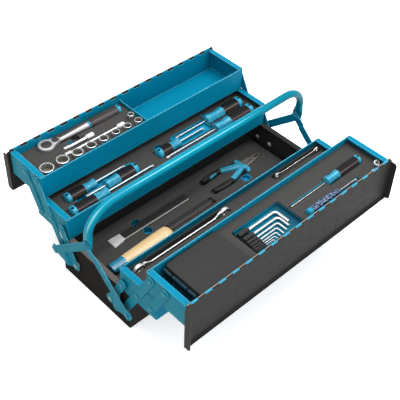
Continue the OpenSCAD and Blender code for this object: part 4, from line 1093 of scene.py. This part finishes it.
# x, depth in the tray, diameter, height
SOCKETS = (
    (-235.5, 22.0, 28.0, 27.0), (-199.5, 21.5, 25.4, 27.0), (-165.5, 20.0, 22.4, 26.0),
    (-133.0, 19.5, 20.4, 25.0), (-102.5, 19.5, 18.8, 25.0), (-72.5, 19.5, 16.6, 25.0),
    (-43.5, 19.0, 16.0, 25.0), (-16.0, 18.5, 16.0, 25.0), (-16.0, 42.0, 14.0, 36.0),
)


def socket_grid(centre, d, h, around=72):
    """Up the outside with a waist and a rolled rim, then down a twelve-point bore; local's third
    number is the depth down the bore."""
    r = d / 2
    t = ring_angles(around)
    outer, outer_z = np.array([
        (r - 1, 0), (r, 1), (r, 0.35 * h), (r - 1.2, 0.4 * h), (r - 1.2, 0.5 * h), (r, 0.55 * h),
        (r, h - 1.0), (r - 0.15, h - 0.5), (r - 0.5, h - 0.1), (r - 0.9, h),
    ]).T
    rows = np.broadcast_to(outer[:, None], (outer.size, around))
    bore = broached(0.40 * d, 12, 0.04 * d)(t)
    down = np.array([0.0, 0.9, 6.0, 13.0])
    radius = np.vstack([rows, bore + 0.5, bore, bore, bore])
    z = np.concatenate([outer_z, h - down])
    points, local = set_out(centre, np.eye(3), radius, t, z[:, None])
    local[..., 2] = np.concatenate([0.0 * outer, down])[:, None]
    return points, local


def socket_set():
    row = Piece()
    for x, depth, d, h in SOCKETS:
        row.add(socket_grid((x, TOP_Y + depth, TOP_FOAM + 11.0 - h), d, h))
    row.make("twelve_point_sockets", "back_top", "chrome", BORED, "sockets")


def tool_case():
    """Two shells with filleted edges, a joint line between them and three hinges on the left side."""
    y0, y1, x0, x1, z0 = -(TOP_Y + 95.0), -(TOP_Y + 3.5), -228.0, -109.0, TOP_Z + 10.0
    case, hinges = Piece(), Piece()
    # from, to, how far drawn in, corner, fillet
    for low, high, inset, corner, fillet in (
        (0.0, 17.2, 0.0, 6.0, 2.5), (17.8, 35.0, 0.0, 6.0, 2.5), (15.0, 20.0, 1.5, 5.0, 1.0)
    ):
        case.add(cushion_box(
            (x0 + inset, y0 + inset, z0 + low), (x1 - inset, y1 - inset, z0 + high), corner, fillet
        ))
    case.make("hinged_tool_case", "front_top", "grey_plastic", GREY, "flat_case")
    for near, far in ((6.0, 26.0), (28.0, 64.0), (66.0, 86.0)):
        s = np.array([0.0, 0.5, far - near - 0.5, far - near])
        for up, r in ((26.0, 3.6), (11.0, 2.4)):
            start = (x0 - 3.0, -(TOP_Y + far), z0 + up)
            hinges.add(turned(start, (0, 1, 0), s, [r - 0.5, r, r, r - 0.5], around=28))
    hinges.make("case_hinges", "front_top", "grey_plastic", HINGE)


# corner in x, then in y, end of the short leg, size across, width of the sleeve
KEYS = (
    (11, 36, 70, 5.0, 10.6), (4, 49, 77, 4.2, 9.4), (-6, 58, 81, 3.4, 7.4), (-16, 65.5, 83, 2.8, 6.4),
    (-25, 71.5, 83, 2.3, 5.2), (-33, 76.5, 83.5, 1.8, 4.4), (-40, 80.5, 84, 1.4, 3.4),
)
KEY_FLOOR = TOP_FOAM - 6.5


def hex_key_set():
    """Each key is a hexagon carried along a long leg, a quarter turn and a short leg; its sleeve is a
    round-cornered bar that narrows at the mouth."""
    keys, sleeves = Piece(), Piece()
    for x, y, end, size, wide in KEYS:
        r, z = 1.6 * size, KEY_FLOOR + size / 2 + 0.35 * (wide - size)
        t = np.linspace(0.0, QUARTER, 12)
        px = np.concatenate([np.linspace(-62.0, x - r, 8)[:-1], x - r + r * np.sin(t), np.full(5, x)])
        py = np.concatenate([np.full(7, y), y + r - r * np.cos(t), np.linspace(y + r, end, 6)[1:]])
        path = together(px, -(TOP_Y + py), z)
        corner = 0.577 * size
        keys.add(carried(path, corner, corner, side=(0, 0, 1), around=6))
        s = np.linspace(0.0, 1.0, 16)
        path = together(-83.5 + 24.5 * s, -(TOP_Y + y), KEY_FLOOR + wide / 2)
        half = wide / 2 * through([(0, 0.9), (0.05, 1.0), (0.9, 1.0), (0.97, 0.9), (1, 0.72)], s)
        sleeves.add(carried(path, half, half, 3.0, around=28))
    keys.make("bent_hex_keys", "front_top", "chrome", BRIGHT, "hex_keys", sharp=25.0)
    sleeves.make("key_sleeves", "front_top", "black_grip", GRIP, "hex_key_sleeves")


def key_tray():
    """A shallow tray let into the foam: up the outside, over a thin lip, down the inside and along the
    floor, following a rounded rectangle."""
    low, high, wall, corner = KEY_FLOOR - 2.5, TOP_FOAM + 0.2, 1.4, 5.0
    inset = np.array([1.0, 0.0, 0.0, 0.15, wall * 0.6, wall, wall + 0.3, wall + 2.0])
    z = np.array([low, low + 1.0, high - 0.5, high, high, high - 0.5, low + 3.5, low + 1.6])
    near, far = (-87.0, -(TOP_Y + 88.0)), (30.0, -(TOP_Y + 23.0))
    single(
        rounded_rings(near, far, corner, inset, z, 120),
        "hex_key_tray", "front_top", "blue_plastic", TRAY_BLUE, "hex_key_holder",
    )


carry_handle()
hex_key_set()
key_tray()
screwdrivers()
tester()
wooden_handle()
combination_pliers()
ring_spanners()
ratchet()
extension_bars()
socket_set()
bit_ring()
tool_case()


# -------- camera, light and floor


def stand(data, place, *axes):
    """Puts a camera or a lamp at a place, with these three axes."""
    obj = bpy.data.objects.new(data.name, data)
    scene.collection.objects.link(obj)
    obj.matrix_world = Matrix.Translation(place) @ Matrix(axes).transposed().to_4x4()
    return obj


def camera():
    """The view that the box is shown in: a fitted pinhole with its middle off the frame's centre."""
    picture, focal, middle_x, middle_y = 400.0, 832.39, 216.80, 163.01
    turn, lift, roll = math.radians(-46.23), math.radians(42.03), math.radians(3.26)
    back = Vector((math.sin(turn) * math.cos(lift), -math.cos(turn) * math.cos(lift), math.sin(lift)))
    right = (-back).cross(Vector((0, 0, 1))).normalized()
    up = right.cross(-back)
    data = bpy.data.cameras.new("view")
    data.sensor_width = 36.0
    data.lens = focal * data.sensor_width / picture
    data.shift_x = 0.5 - middle_x / picture
    data.shift_y = middle_y / picture - 0.5
    data.clip_end = 50.0
    scene.camera = stand(
        data,
        Vector((-0.83733, -0.84419, 1.25814)),
        math.cos(roll) * right + math.sin(roll) * up,
        -math.sin(roll) * right + math.cos(roll) * up,
        back,
    )


def lamp(name, place, size, power):
    """A rectangular softbox aimed at the middle of the box, its first side level."""
    aim = Vector((0, 0, 0.1))
    data = bpy.data.lights.new(name, "AREA")
    data.shape = "RECTANGLE"
    data.size, data.size_y = size
    data.energy = power
    away = (Vector(place) - aim).normalized()
    level = (Vector((1, 0, 0)) - away * away.x).normalized()
    stand(data, Vector(place), level, away.cross(level), away)


def studio():
    """Four softboxes under an even white sky."""
    lamp("top_softbox", (0.2, 0.1, 2.6), (2.0, 2.0), 56.0)
    lamp("strip_softbox", (1.0, -0.72, 2.25), (1.8, 0.07), 18.0)
    lamp("left_softbox", (-2.4, -0.5, 1.3), (1.6, 1.6), 1.0)
    lamp("front_fill", (0.6, -2.8, 1.2), (2.0, 1.4), 26.0)
    scene.world = bpy.data.worlds.new("studio")
    scene.world.use_nodes = True
    background = scene.world.node_tree.nodes["Background"]
    background.inputs["Strength"].default_value = 1.0
    background.inputs["Color"].default_value = (1, 1, 1, 1)


def floor():
    """A pale sheet that runs to the horizon; it glows for the camera and in reflections."""
    s = 30.0
    mesh = bpy.data.meshes.new("floor")
    mesh.from_pydata([(-s, -s, 0), (s, -s, 0), (s, s, 0), (-s, s, 0)], [], [(0, 1, 2, 3)])
    obj = bpy.data.objects.new("floor", mesh)
    scene.collection.objects.link(obj)
    f = Finish("pale_floor")
    f.finish(0.86, 0.9, shine=0.1)
    ray = f.add("ShaderNodeLightPath")
    seen = Wire(f, ray.outputs["Is Camera Ray"]).max(Wire(f, ray.outputs["Is Glossy Ray"]))
    glow = f.add("ShaderNodeEmission", None, 1.0, seen * 0.5)
    both = f.add("ShaderNodeAddShader", None, f.shader.outputs[0], glow.outputs[0])
    f.put(f.tree.nodes["Material Output"].inputs["Surface"], both.outputs[0])
    mesh.materials.append(f.material)


camera()
studio()
floor()
scene.view_settings.view_transform = "Standard"
